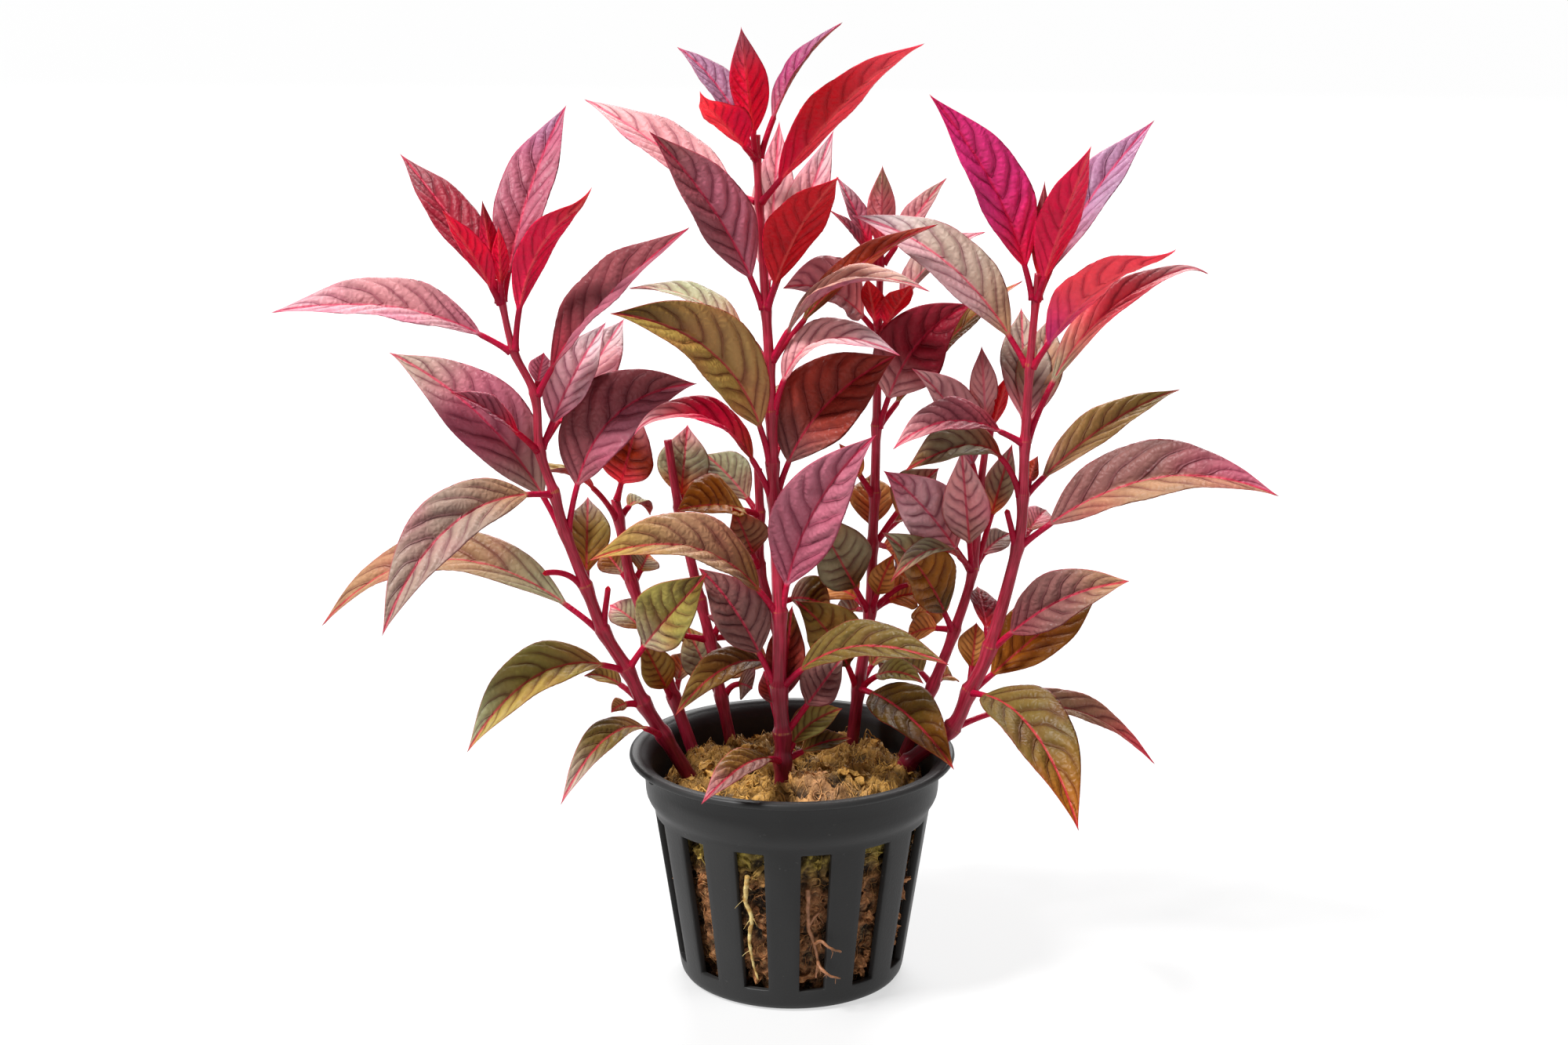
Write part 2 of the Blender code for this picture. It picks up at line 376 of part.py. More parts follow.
def build_pot(parent):
    """The slotted cup: one turned wall whose slot panels are left open and lined."""
    outside, inside = pot_profile()
    rows = outside + inside
    step = 360.0 / SLOTS
    bar_middle = step / 2
    columns = []
    for slot in range(SLOTS):
        centre = FIRST_SLOT_ANGLE + slot * step
        columns += [centre - SLOT_HALF_ANGLE, centre + SLOT_HALF_ANGLE, centre + bar_middle]
    points = [around_pot(angle, radius, height) for radius, height in rows for angle in columns]
    count = len(columns)
    slot_rows = {outside.index((WALL_TOP_RADIUS, SLOT_TOP)), len(outside) + 1}
    faces = []
    for row in range(len(rows)):
        below = (row + 1) % len(rows)
        if row == len(outside) - 1:
            continue
        for column in range(count):
            beside = (column + 1) % count
            if row in slot_rows and column % 3 == 0:
                continue
            faces.append((row * count + column, below * count + column,
                          below * count + beside, row * count + beside))
    faces += slot_linings(outside, count)
    faces += floor_fans(points, len(outside), count)
    material = make_material("pot_plastic", (0.02, 0.02, 0.022), 0.45)
    return make_object("pot", points, faces, material, parent)


def slot_linings(outside, count):
    """The four sides of each slot, through the thickness of the wall."""
    outer_top = outside.index((WALL_TOP_RADIUS, SLOT_TOP)) * count
    outer_foot = outer_top + count
    inner_foot = (len(outside) + 1) * count
    inner_top = inner_foot + count
    faces = []
    for slot in range(SLOTS):
        left = slot * 3
        right = left + 1
        faces.append((outer_top + left, outer_foot + left, inner_foot + left, inner_top + left))
        faces.append((outer_top + right, inner_top + right, inner_foot + right, outer_foot + right))
        faces.append((outer_top + left, inner_top + left, inner_top + right, outer_top + right))
        faces.append((outer_foot + left, outer_foot + right, inner_foot + right, inner_foot + left))
    return faces


def floor_fans(points, outside_rows, count):
    """Close the pot's floor below and above with fans to its middle."""
    under = len(points)
    points += [Vector((0, 0, 0)), Vector((0, 0, WALL))]
    last_outside = (outside_rows - 1) * count
    first_inside = outside_rows * count
    faces = []
    for column in range(count):
        beside = (column + 1) % count
        faces.append((last_outside + column, under, last_outside + beside))
        faces.append((first_inside + column, first_inside + beside, under + 1))
    return faces


def medium_height(angle, radius):
    """Top of the fibre: heaped at the front and right, sunken beside the left wall."""
    turn = math.radians(angle)
    front = 0.5 + 0.5 * math.cos(turn)
    clump = math.exp(-((angle - 22) / 24) ** 2 - ((radius - 13) / 5) ** 2)
    sunken = math.exp(-((angle + 75) / 40) ** 2 - ((radius - 19) / 5) ** 2)
    ripple = 0.5 * math.sin(3 * turn + radius) + 0.35 * math.sin(7 * turn - 0.8 * radius)
    return MEDIUM_LEVEL + 1.4 * front * radius / 20 + 2.6 * clump - 2.2 * sunken + ripple


def build_medium(parent):
    """The plug of fibre: its sides follow the cup and its top is heaped."""
    rng = random.Random(5)
    sides = ((2.0, 0.5), (SLOT_FOOT + 3, 0.55), (14.0, 0.6), (21.5, 0.55), (SLOT_TOP - 1, 0.55))
    rows = []
    for height, inset in sides:
        wall = outer_wall_radius(height) - WALL
        rows.append([(wall - inset - rng.uniform(0, 0.45), height) for _ in range(MEDIUM_SIDES)])
    for radius in (20.6, 17.0, 11.0):
        rows.append([(radius, None)] * MEDIUM_SIDES)
    points = []
    for row in rows:
        for side in range(MEDIUM_SIDES):
            angle = side * 360 / MEDIUM_SIDES
            signed = angle if angle < 180 else angle - 360
            radius, height = row[side]
            if height is None:
                height = medium_height(signed, radius) - (2.2 if radius > 20 else 0)
            points.append(around_pot(angle, radius, height))
    faces = []
    for row in range(len(rows) - 1):
        for side in range(MEDIUM_SIDES):
            beside = (side + 1) % MEDIUM_SIDES
            low = row * MEDIUM_SIDES
            high = low + MEDIUM_SIDES
            faces.append((low + side, low + beside, high + beside, high + side))
    bottom = len(points)
    points += [Vector((0, 0, sides[0][0] - 0.3)), Vector((0, 0, MEDIUM_LEVEL + 0.5))]
    top_row = (len(rows) - 1) * MEDIUM_SIDES
    for side in range(MEDIUM_SIDES):
        beside = (side + 1) % MEDIUM_SIDES
        faces.append((beside, side, bottom))
        faces.append((top_row + side, top_row + beside, bottom + 1))
    material = make_material("fibre", (0.36, 0.24, 0.10), 0.9)
    medium = make_object("growing_medium", points, faces, material, parent)
    for stem in STEMS:
        join_by_boolean(medium, socket_cutter(stem, material, parent), "DIFFERENCE")
    return medium


def socket_cutter(stem, material, parent):
    """A plain rod a little fatter than the stem's foot, standing where the stem is planted."""
    foot, above = Vector(stem.route[0]), Vector(stem.route[1])
    along = (above - foot) / (above.z - foot.z)
    low = foot + along * (SOCKET_FLOOR - foot.z)
    high = foot + along * (SOCKET_TOP - foot.z)
    radius = stem.foot_radius * NODE_SWELL + GAP + 0.1
    points, faces = tube([low, high], [radius, radius], 8)
    return make_object("socket", points, faces, material, parent)


def tube(path, radii, sides, cone=0.0):
    """Points and faces of a closed tube along a path; cone adds a pointed end."""
    points = []
    side_axis = None
    for i, place in enumerate(path):
        ahead = path[min(i + 1, len(path) - 1)] - path[max(i - 1, 0)]
        ahead = ahead.normalized()
        if side_axis is None:
            side_axis = ahead.cross(Vector((0, 1, 0.2))).normalized()
        side_axis = (side_axis - ahead * side_axis.dot(ahead)).normalized()
        other_axis = ahead.cross(side_axis)
        for side in range(sides):
            turn = 2 * math.pi * side / sides
            points.append(place + (side_axis * math.cos(turn) + other_axis * math.sin(turn)) * radii[i])
    faces = []
    for ring in range(len(path) - 1):
        for side in range(sides):
            beside = (side + 1) % sides
            low = ring * sides
            high = low + sides
            faces.append((low + side, low + beside, high + beside, high + side))
    foot_centre = len(points)
    points.append(path[0].copy())
    points.append(path[-1] + (path[-1] - path[-2]).normalized() * cone)
    top = (len(path) - 1) * sides
    for side in range(sides):
        beside = (side + 1) % sides
        faces.append((beside, side, foot_centre))
        faces.append((top + side, top + beside, foot_centre + 1))
    return points, faces


def stem_radius(stem, height):
    """Radius of a stem between its nodes, by height."""
    foot, top = stem.route[0][2], stem.route[-1][2]
    share = min(max((height - foot) / (top - foot), 0.0), 1.0)
    return stem.foot_radius + (stem.top_radius - stem.foot_radius) * share


def stem_path(stem):
    """Centres and radii: each node is a swelling just above a slim waist."""
    route = [Vector(p) for p in stem.route]
    path, radii = [route[0]], [stem.foot_radius]
    for i in range(1, len(route) - 1):
        below = (route[i] - route[i - 1]).normalized()
        waist = route[i] - below * NODE_BELOW
        path += [waist, route[i]]
        radii += [stem_radius(stem, waist.z), stem_radius(stem, route[i].z) * NODE_SWELL]
    path.append(route[-1])
    radii.append(stem_radius(stem, route[-1].z))
    return path, radii


def midrib(base, leaf):
    """Points along the leaf's midrib, from its base to its tip."""
    tip = Vector(leaf.tip)
    chord = tip - base
    lift = Vector((0, 0, 1)) - chord * (chord.z / chord.length_squared)
    lift = lift.normalized()
    first = base + chord / 3 + lift * leaf.rise[0]
    second = base + chord * 2 / 3 + lift * leaf.rise[1]
    steps = 40
    curve = []
    for i in range(steps + 1):
        t = i / steps
        s = 1 - t
        curve.append(base * s ** 3 + first * 3 * s * s * t + second * 3 * s * t * t + tip * t ** 3)
    return curve


def point_along(curve, share):
    """Place and direction at a share of the curve's length."""
    lengths = [0.0]
    for a, b in zip(curve, curve[1:]):
        lengths.append(lengths[-1] + (b - a).length)
    wanted = share * lengths[-1]
    i = 1
    while i < len(curve) - 1 and lengths[i] < wanted:
        i += 1
    part = (wanted - lengths[i - 1]) / (lengths[i] - lengths[i - 1])
    place = curve[i - 1].lerp(curve[i], part)
    before, after = curve[max(i - 2, 0)], curve[min(i + 1, len(curve) - 1)]
    return place, (after - before).normalized()


def blade_width(share):
    """Share of the full width: drawn out at the base, widest at WIDEST, pointed."""
    if share <= 0 or share >= 1:
        return 0.0
    base_power = TIP_TAPER * WIDEST / (1 - WIDEST)
    return (share / WIDEST) ** base_power * ((1 - share) / (1 - WIDEST)) ** TIP_TAPER


def leaf_mesh(leaf, base, stations):
    """A thin closed leaf: stalk, then a folded blade with knife edges."""
    curve = midrib(base, leaf)
    length = sum((b - a).length for a, b in zip(curve, curve[1:]))
    stalk = min(leaf.petiole / length, 0.9)
    face = Vector(leaf.face)
    fold = math.radians(leaf.fold)
    points = []
    shares = [0.0] + [stalk + (1 - stalk) * s for s in stations]
    for share in shares:
        place, ahead = point_along(curve, share)
        normal = (face - ahead * face.dot(ahead)).normalized()
        across = ahead.cross(normal)
        blade = (share - stalk) / (1 - stalk)
        half = max(PETIOLE_RADIUS, leaf.width / 2 * blade_width(blade))
        open_out = min(half / PETIOLE_RADIUS - 1, 1)
        lift = half * math.sin(fold) * open_out
        half_across = half * (1 - open_out + open_out * math.cos(fold))
        thick = (RIB_THICKNESS + (TIP_THICKNESS - RIB_THICKNESS) * max(blade, 0)) / 2
        if blade <= 0:
            thick = PETIOLE_RADIUS
        points += [place + across * half_across + normal * lift, place + normal * thick,
                   place - across * half_across + normal * lift, place - normal * thick]
    points.append(curve[-1])
    faces = [(0, 1, 2, 3)]
    for row in range(len(shares) - 1):
        for corner in range(4):
            beside = (corner + 1) % 4
            here, next_to = row * 4 + corner, row * 4 + beside
            if corner % 2 == 0:
                faces += [(next_to, here, next_to + 4), (here, here + 4, next_to + 4)]
            else:
                faces += [(next_to, here, here + 4), (next_to, here + 4, next_to + 4)]
    last = (len(shares) - 1) * 4
    for corner in range(4):
        faces.append((last + (corner + 1) % 4, last + corner, len(points) - 1))
    return points, faces


def leaf_base(stem, leaf, stand_off):
    """Where a leaf leaves its node: on the side towards its tip, clear of the stem."""
    node = Vector(stem.route[leaf.node])
    out = Vector(leaf.tip) - node
    out.z = 0
    above = stem.route[min(leaf.node + 1, len(stem.route) - 1)]
    along = (Vector(above) - Vector(stem.route[leaf.node - 1])).normalized()
    out = (out - along * out.dot(along)).normalized()
    return node + out * stand_off


def build_leaf(stem, leaf, parent):
    """One leaf as a piece of its own, a gap away from its node."""
    node_radius = stem_radius(stem, stem.route[leaf.node][2]) * NODE_SWELL
    base = leaf_base(stem, leaf, node_radius + GAP + PETIOLE_RADIUS)
    points, faces = leaf_mesh(leaf, base, BLADE_STATIONS)
    material = make_material("leaf_" + leaf.tone, TONES[leaf.tone], 0.4)
    return make_object(leaf.name, points, faces, material, parent)


def build_stem(stem, parent):
    """A stem with its small leaves fused on."""
    path, radii = stem_path(stem)
    points, faces = tube(path, radii, STEM_SIDES, cone=stem.top_radius)
    material = make_material("stem_red", (0.30, 0.01, 0.05), 0.3)
    obj = make_object(stem.name, points, faces, material, parent)
    for leaf in SMALL_LEAVES.get(stem.name, ()):
        base = leaf_base(stem, leaf, 0.1)
        points, faces = leaf_mesh(leaf, base, SMALL_STATIONS)
        small = make_object("small_leaf", points, faces, material, parent)
        join_by_boolean(obj, small, "UNION")
    return obj


def build_root(name, routes, radii, colour, parent):
    """A root lying in a slot, with its branches united to it."""
    material = make_material(name + "_skin", colour, 0.6)
    obj = None
    for route, radius in zip(routes, radii):
        path = [around_pot(*p) for p in route]
        points, faces = tube(path, [radius] * len(path), ROOT_SIDES, cone=radius)
        part = make_object(name if obj is None else "branch", points, faces, material, parent)
        if obj is None:
            obj = part
        else:
            join_by_boolean(obj, part, "UNION")
    return obj


def main():
    clear_scene()
    plant = bpy.data.objects.new("joyweed", None)
    bpy.context.collection.objects.link(plant)
    build_pot(plant)
    build_medium(plant)
    build_root("root_pale", [PALE_ROOT], [ROOT_RADIUS], (0.62, 0.55, 0.28), plant)
    branch_radii = [ROOT_RADIUS] + [BRANCH_RADIUS] * len(BROWN_BRANCHES)
    build_root("root_brown", [BROWN_ROOT, *BROWN_BRANCHES], branch_radii, (0.25, 0.13, 0.06), plant)
    for stem in STEMS:
        build_stem(stem, plant)
        for leaf in LEAVES.get(stem.name, ()):
            build_leaf(stem, leaf, plant)


main()
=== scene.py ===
"""Looks of a sessile joyweed: a bunch of red and green leafy stems in a slotted net pot.

The plant's own measures below are in millimetres. The front faces -Y and the pot's foot
stands on z = 0, centred on the origin, as in the frame.
"""

import math
import random
from collections import namedtuple
from itertools import product

import bmesh
import bpy
import numpy as np
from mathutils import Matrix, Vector, noise


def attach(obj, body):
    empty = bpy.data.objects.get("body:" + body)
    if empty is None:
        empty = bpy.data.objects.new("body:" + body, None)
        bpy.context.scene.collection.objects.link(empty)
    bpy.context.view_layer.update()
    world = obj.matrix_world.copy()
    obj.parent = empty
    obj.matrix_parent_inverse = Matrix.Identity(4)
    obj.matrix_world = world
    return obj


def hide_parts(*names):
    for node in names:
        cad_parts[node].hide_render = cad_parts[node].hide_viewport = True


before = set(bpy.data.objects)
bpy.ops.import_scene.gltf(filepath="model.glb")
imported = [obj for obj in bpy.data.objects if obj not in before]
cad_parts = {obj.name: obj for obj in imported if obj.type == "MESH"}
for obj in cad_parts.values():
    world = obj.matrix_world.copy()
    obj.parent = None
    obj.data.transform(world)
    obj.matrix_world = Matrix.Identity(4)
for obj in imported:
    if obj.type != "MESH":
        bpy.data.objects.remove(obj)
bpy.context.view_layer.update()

MM = 0.001
# Ways that a half of a leaf may face, for the half painted in a lighter or darker tone as painted sheen and
# painted shade: +X is right, -Y is near
PAINTED_HALF_SIDES = {"near": (0, -1, -0.35), "low": (0, -0.2, -1), "left": (-1, 0, 0), "right": (1, 0, 0)}

# Stem and leaf form
NODE_SWELL = 1.28
SKIN_SHARE = 0.86
PETIOLE_RADIUS = 0.45
PETIOLE_FLARE = 0.5
RIB_THICKNESS = 0.5
EDGE_THICKNESS = 0.2
WIDEST = 0.42
TIP_TAPER = 1.4
VEIN_PAIRS = 7.6
VEIN_LEAN = 0.21
QUILT = 0.6
CURL_START = 0.85

# Net pot: rows of (radius, height) down the outside and up the inside
SLOT_TOP, SLOT_FOOT = 27.6, 3.6
WALL_TOP_RADIUS, WALL_FOOT_RADIUS = 22.0, 18.4
WALL = 1.2
SLOTS = 13
SLOT_HALF_ANGLE = 6.3
FIRST_SLOT_ANGLE = 9.8
POT_RIM = ((24.2, 37.25), (24.4, 37.45), (25.4, 37.5), (25.75, 37.42), (25.95, 37.2), (26, 36.9),
           (25.9, 36.6), (25.6, 36.45), (24.3, 36.35), (23.85, 36.15), (23.65, 35.7), (23.55, 33.6),
           (23.42, 31.4), (23.3, 30.7), (23, 30), (22.6, 29.35), (22.38, 29), (22.24, 28.6), (22.1, 28.1))
POT_FOOT = ((18.24, 2.6), (18.1, 1.7), (17.9, 1.0), (17.5, 0.4), (17.0, 0.1), (16.6, 0.0))
POT_FLOOR = ((15.8, 1.25), (16.5, 1.6), (17.0, 2.4))
POT_INSIDE = ((21.1, 28.8), (21.6, 29.8), (22.2, 30.8), (22.4, 32), (22.5, 35.2), (22.7, 36),
              (23.3, 36.7), (23.9, 37.1))

# Fibre and roots; roots run through (angle from the front, radius, height), in degrees towards +X
MEDIUM_LEVEL = 33.5
NOISE_SEED = 5
CORE_SIDES = 260
TOP_REACH = 21.0
THREADS, TOP_THREADS = 1950, 1050
FLAKES, TOP_FLAKES = 230, 70
FLAKE_ROWS = 7
ROOT_RADIUS = 0.4
ROOT_HAIRS = 7
PALE_ROOTS = (
    ((-20, 20.35, 23.2), (-21.5, 19.75, 18.8), (-19, 19.35, 16), (-20.8, 18.75, 12), (-19.5, 18.05, 7.4),
     (-17.5, 17.75, 5.0)),
)
BROWN_ROOTS = (
    ((6.8, 20.1, 21.5), (7.5, 19.25, 15.2), (10.5, 18.75, 11.8), (12.5, 18.35, 8.6), (12, 17.9, 5.6)),
    ((7.5, 19.25, 15.2), (10.5, 19.45, 16.6), (12.8, 19.5, 17.2)),
    ((10.5, 18.75, 11.8), (12.5, 20.6, 12.8), (16, 21.5, 12), (21, 21.3, 11)),
    ((12.5, 18.35, 8.6), (12.8, 19.9, 8), (16.5, 20.6, 7), (21.5, 20.5, 6.2)),
)

# Colours of the leaves, the fibre and the roots
TONES = {
    "bark": 0x7A5030,
    "bronze": 0xA6825F,
    "brown": 0x7F5B27,
    "brown_root": 0xA8714F,
    "coral": 0xF95160,
    "crimson": 0xDF154A,
    "dark_crimson": 0x902233,
    "dark_olive": 0x58400E,
    "dark_plum": 0x86464A,
    "dusky": 0x815852,
    # Painted shade left in the hollows of the fibre's folds
    "hollow_shade": 0x2A170C,
    "gold": 0xAE994A,
    "golden": 0xD79F54,
    "green": 0x8F8642,
    "hot_pink": 0xAD4674,
    "khaki": 0x6C5A2A,
    "lilac": 0xA47D97,
    "magenta": 0xD22F76,
    "maroon": 0x903528,
    "mauve": 0xB56778,
    "moss": 0x77682A,
    "olive": 0xA7844C,
    "orchid": 0xAC6474,
    "pale_olive": 0xA1A67F,
    "pale_pink": 0xCFC1C1,
    "pale_root": 0xE3CF8E,
    "pink": 0xE3B0AE,
    "pink_bark": 0xB9856A,
    "plum": 0x935359,
    "red": 0xC71322,
    "rose": 0xCC8E90,
    "rust": 0xA23819,
    "sand": 0xDCA995,
    "silver": 0xB0A08E,
    "silver_pink": 0xDBB0B4,
    "straw": 0xA87E3A,
    "tan": 0x9F8A7B,
    "umber": 0x9A6015,
}

Stem = namedtuple("Stem", "name foot_radius top_radius route")
Leaf = namedtuple("Leaf", "name node tip width rise face top under half stalk fold curl slot",
                  defaults=("red maroon rust", None, 3.0, 24.0, 0.0, None))

# The stage, in metres and degrees: a camera fitted to the photograph, and lamps as
# (name, kind, place, aim, width, power), where a sun's width is its angle
FLOOR_HALF = 6.0
CAMERA_PLACE = (-0.00128, -0.4157, 0.1833)
CAMERA_TILT = 14.63
CAMERA_LENS = 63.0
LAMPS = (("key", "SUN", (-0.5, -0.3, 1.0), (0, 0, 0.07), math.radians(14), 5.2),
         ("back", "AREA", (0.1, 0.9, 0.75), (0, 0, 0.09), 0.8, 14.0))

# Each route runs through the stem's swollen nodes, from inside the medium to the top
STEMS = (
    Stem("front_left", 1.5, 0.55, (
        (-13.0, 1.5, 26), (-20.5, -2, 40.5), (-23.5, -3, 46), (-26, -4, 52), (-29.5, -5, 58.5),
        (-32, -6, 66), (-35, -7, 75), (-36.5, -8, 81.5), (-38.5, -8.5, 88.5), (-39, -9, 97),
        (-42, -9.5, 104), (-43.5, -10, 111.5), (-44.2, -10, 115))),
    Stem("front_centre", 1.55, 0.6, (
        (-1.5, -9, 26), (-1.5, -9, 38.5), (-1.5, -9, 43), (-2, -9, 50.5), (-2, -8.5, 62.5),
        (-2.8, -8, 81), (-3, -8, 86), (-3.2, -8, 94), (-3.5, -7.5, 102), (-4, -7, 110),
        (-5, -6.2, 126), (-5.3, -6, 132.5), (-5.3, -6, 136))),
    Stem("front_right", 1.5, 0.6, (
        (13.2, 1, 27), (18.6, -0.2, 35), (25.3, -2, 41.5), (28, -3, 48), (31, -4, 55.5), (35, -5, 72.5),
        (35.5, -5.8, 80.5), (35.6, -6.2, 89), (36, -7, 101), (36.6, -7.8, 111.5), (36.8, -8, 115.5))),
    Stem("back_right", 1.25, 0.6, (
        (9.2, 13.5, 26), (11, 14, 43), (12.8, 15, 56), (13.1, 15.2, 67), (13.4, 15.5, 75.5),
        (13.6, 15.8, 86.5), (13.8, 16, 102), (14, 16, 113), (14, 16, 117))),
    Stem("mid_right", 1.25, 0.65, (
        (15.2, 6.5, 26), (22.8, 7.5, 45.5), (26.3, 10, 54), (29.2, 11, 64), (30.2, 12, 77),
        (31.2, 12, 86))),
    Stem("back_left_inner", 1.25, 0.8, (
        (-8.5, 12.5, 26), (-11.6, 15.2, 41), (-13.5, 17, 50.5), (-15, 18.5, 56.5), (-18.5, 21, 71.5),
        (-20.3, 22, 83))),
    Stem("back_left_outer", 1.25, 0.9, (
        (-13.5, 8.5, 26), (-19.3, 13, 41.5), (-22.5, 15.5, 50.5), (-26.3, 19, 59.5), (-28.5, 21.5, 70),
        (-29, 22, 73))),
    Stem("back_centre", 1.2, 0.8, (
        (-2, 13, 26), (-1.5, 14, 46.5), (-3.5, 15.5, 56), (-5.2, 17, 63), (-5.2, 18, 71.5),
        (-5.5, 18.5, 79))),
)

# The leaves of each stem, those with a slot of their own first: they stand for a solid each, the
# # others stand on their stem's solid. Tones run from base to tip, on the upper and on the under
# # side; half names a tone painted over one half of the leaf, as painted sheen where that half is
# # lighter and painted shade where it is darker; rise lifts the midrib at each third
LEAVES = {}
LEAVES["front_left"] = (
    Leaf("left_low_brown", 1, (-35, -26, 37.5), 6, (8, 7), (0, -0.5, 0.85), "olive khaki silver",
         slot="brown_rose"),
    Leaf("left_green_fold", 3, (-49, -25, 45.5), 9.5, (8.5, 8), (0, -0.6, 0.8), "olive green pale_olive",
         half="gold near", slot="green"),
    Leaf("left_green_upright", 3, (-13, -12, 70), 11, (1, 0), (-0.3, -0.9, 0.3),
         "pale_olive green dark_olive", stalk=3.5, slot="green"),
    Leaf("left_olive_arch", 4, (-75.5, 6, 56), 10.5, (14, 16), (0, -0.5, 0.87), "pale_olive bronze bronze",
         stalk=5, slot="olive"),
    Leaf("left_bronze_wide", 6, (-62.5, 2, 101.5), 13, 5, (0.3, -0.85, 0.45), "tan mauve silver", stalk=5,
         slot="bronze"),
    Leaf("left_plum_wide", 6, (-14.5, -5, 98), 13.5, (6.6, 10), (-0.35, -0.8, 0.45),
         "plum dark_plum dark_plum", half="orchid low", stalk=6, slot="plum"),
    Leaf("left_drooping", 7, (-60.5, -29, 65), 10.5, (10, 8.5), (-0.1, -0.8, 0.6), "bronze tan tan",
         slot="bronze"),
    Leaf("left_silver", 8, (-28.5, -2, 107), 8.8, 1, (-0.3, -0.9, 0.3), "mauve silver_pink pale_pink",
         slot="silver"),
    Leaf("left_plum_up", 9, (-15, -18, 124), 11.6, (3.6, 1.6), (-0.6, -0.5, 0.6),
         "dark_crimson dark_plum dark_plum", half="orchid low", stalk=3.5, slot="plum"),
    Leaf("left_long_pink", 10, (-77, -16, 111), 10, (5.3, 4.2), (0, -0.55, 0.83), "orchid rose silver_pink",
         half="silver_pink near", stalk=4, slot="rose"),
    Leaf("left_crimson_front", 10, (-28.5, -25, 129), 6, (7, 6), (-0.2, 0.8, 0.55), "crimson crimson red",
         "crimson crimson red", stalk=5, curl=-50, slot="crimson"),
    Leaf("left_top_dark", 11, (-60.5, 8, 131.5), 8, (2, 1), (0.3, -0.75, 0.6),
         "dark_crimson dark_crimson plum", slot="dark_crimson"),
    Leaf("left_top_mauve", 11, (-35, 12, 138.5), 9.5, (3.5, 3), (-0.25, -0.9, 0.35),
         "dark_crimson orchid lilac", half="orchid right", slot="mauve"),
    Leaf("tiny", 2, (-28.5, -6, 45.5), 3, 1, (0, -0.6, 0.8), "olive olive brown", stalk=1),
    Leaf("small_back", 2, (-33.5, 5, 48), 4, 2, (0, -0.5, 0.85), "brown gold brown"),
    Leaf("stub_upright", 4, (-28.5, -7, 66.5), 1.0, (1, 0), (0, -1, 0), "crimson red red", stalk=9),
    Leaf("stub_curved", 5, (-38.5, -9, 69), 1.0, 1.5, (0, -1, 0), "crimson red red", stalk=9),
    Leaf("olive_upright", 5, (-32.5, 8, 77), 8.5, 0, (0, -0.95, 0.3), "umber gold silver", stalk=1),
    Leaf("purple_over", 8, (-50, -23, 100.5), 5.5, 1, (0.2, -0.6, 0.75), "crimson orchid mauve", stalk=4),
    Leaf("pale_behind", 8, (-27, 20, 103.5), 10, 0, (-0.1, -0.9, 0.4), "crimson pink pale_pink", stalk=5),
    Leaf("purple_behind", 9, (-38, -3, 102.5), 4, 0, (0, -1, 0.2), "mauve mauve orchid", stalk=1),
    Leaf("crimson_front", 11, (-50.5, -22, 127), 5, 0.5, (0.2, 0.8, 0.55), "crimson crimson crimson",
         "crimson crimson crimson", stalk=2),
    Leaf("bud_back", 11, (-46, -10.5, 127), 3.4, 0, (0, 1, 0), "red dark_crimson dark_crimson",
         "red crimson dark_crimson", stalk=2),
    Leaf("bud_front", 11, (-43.3, -14, 123.5), 2.8, 0, (0, 1, 0), "red crimson crimson",
         "red crimson crimson", stalk=2),
)
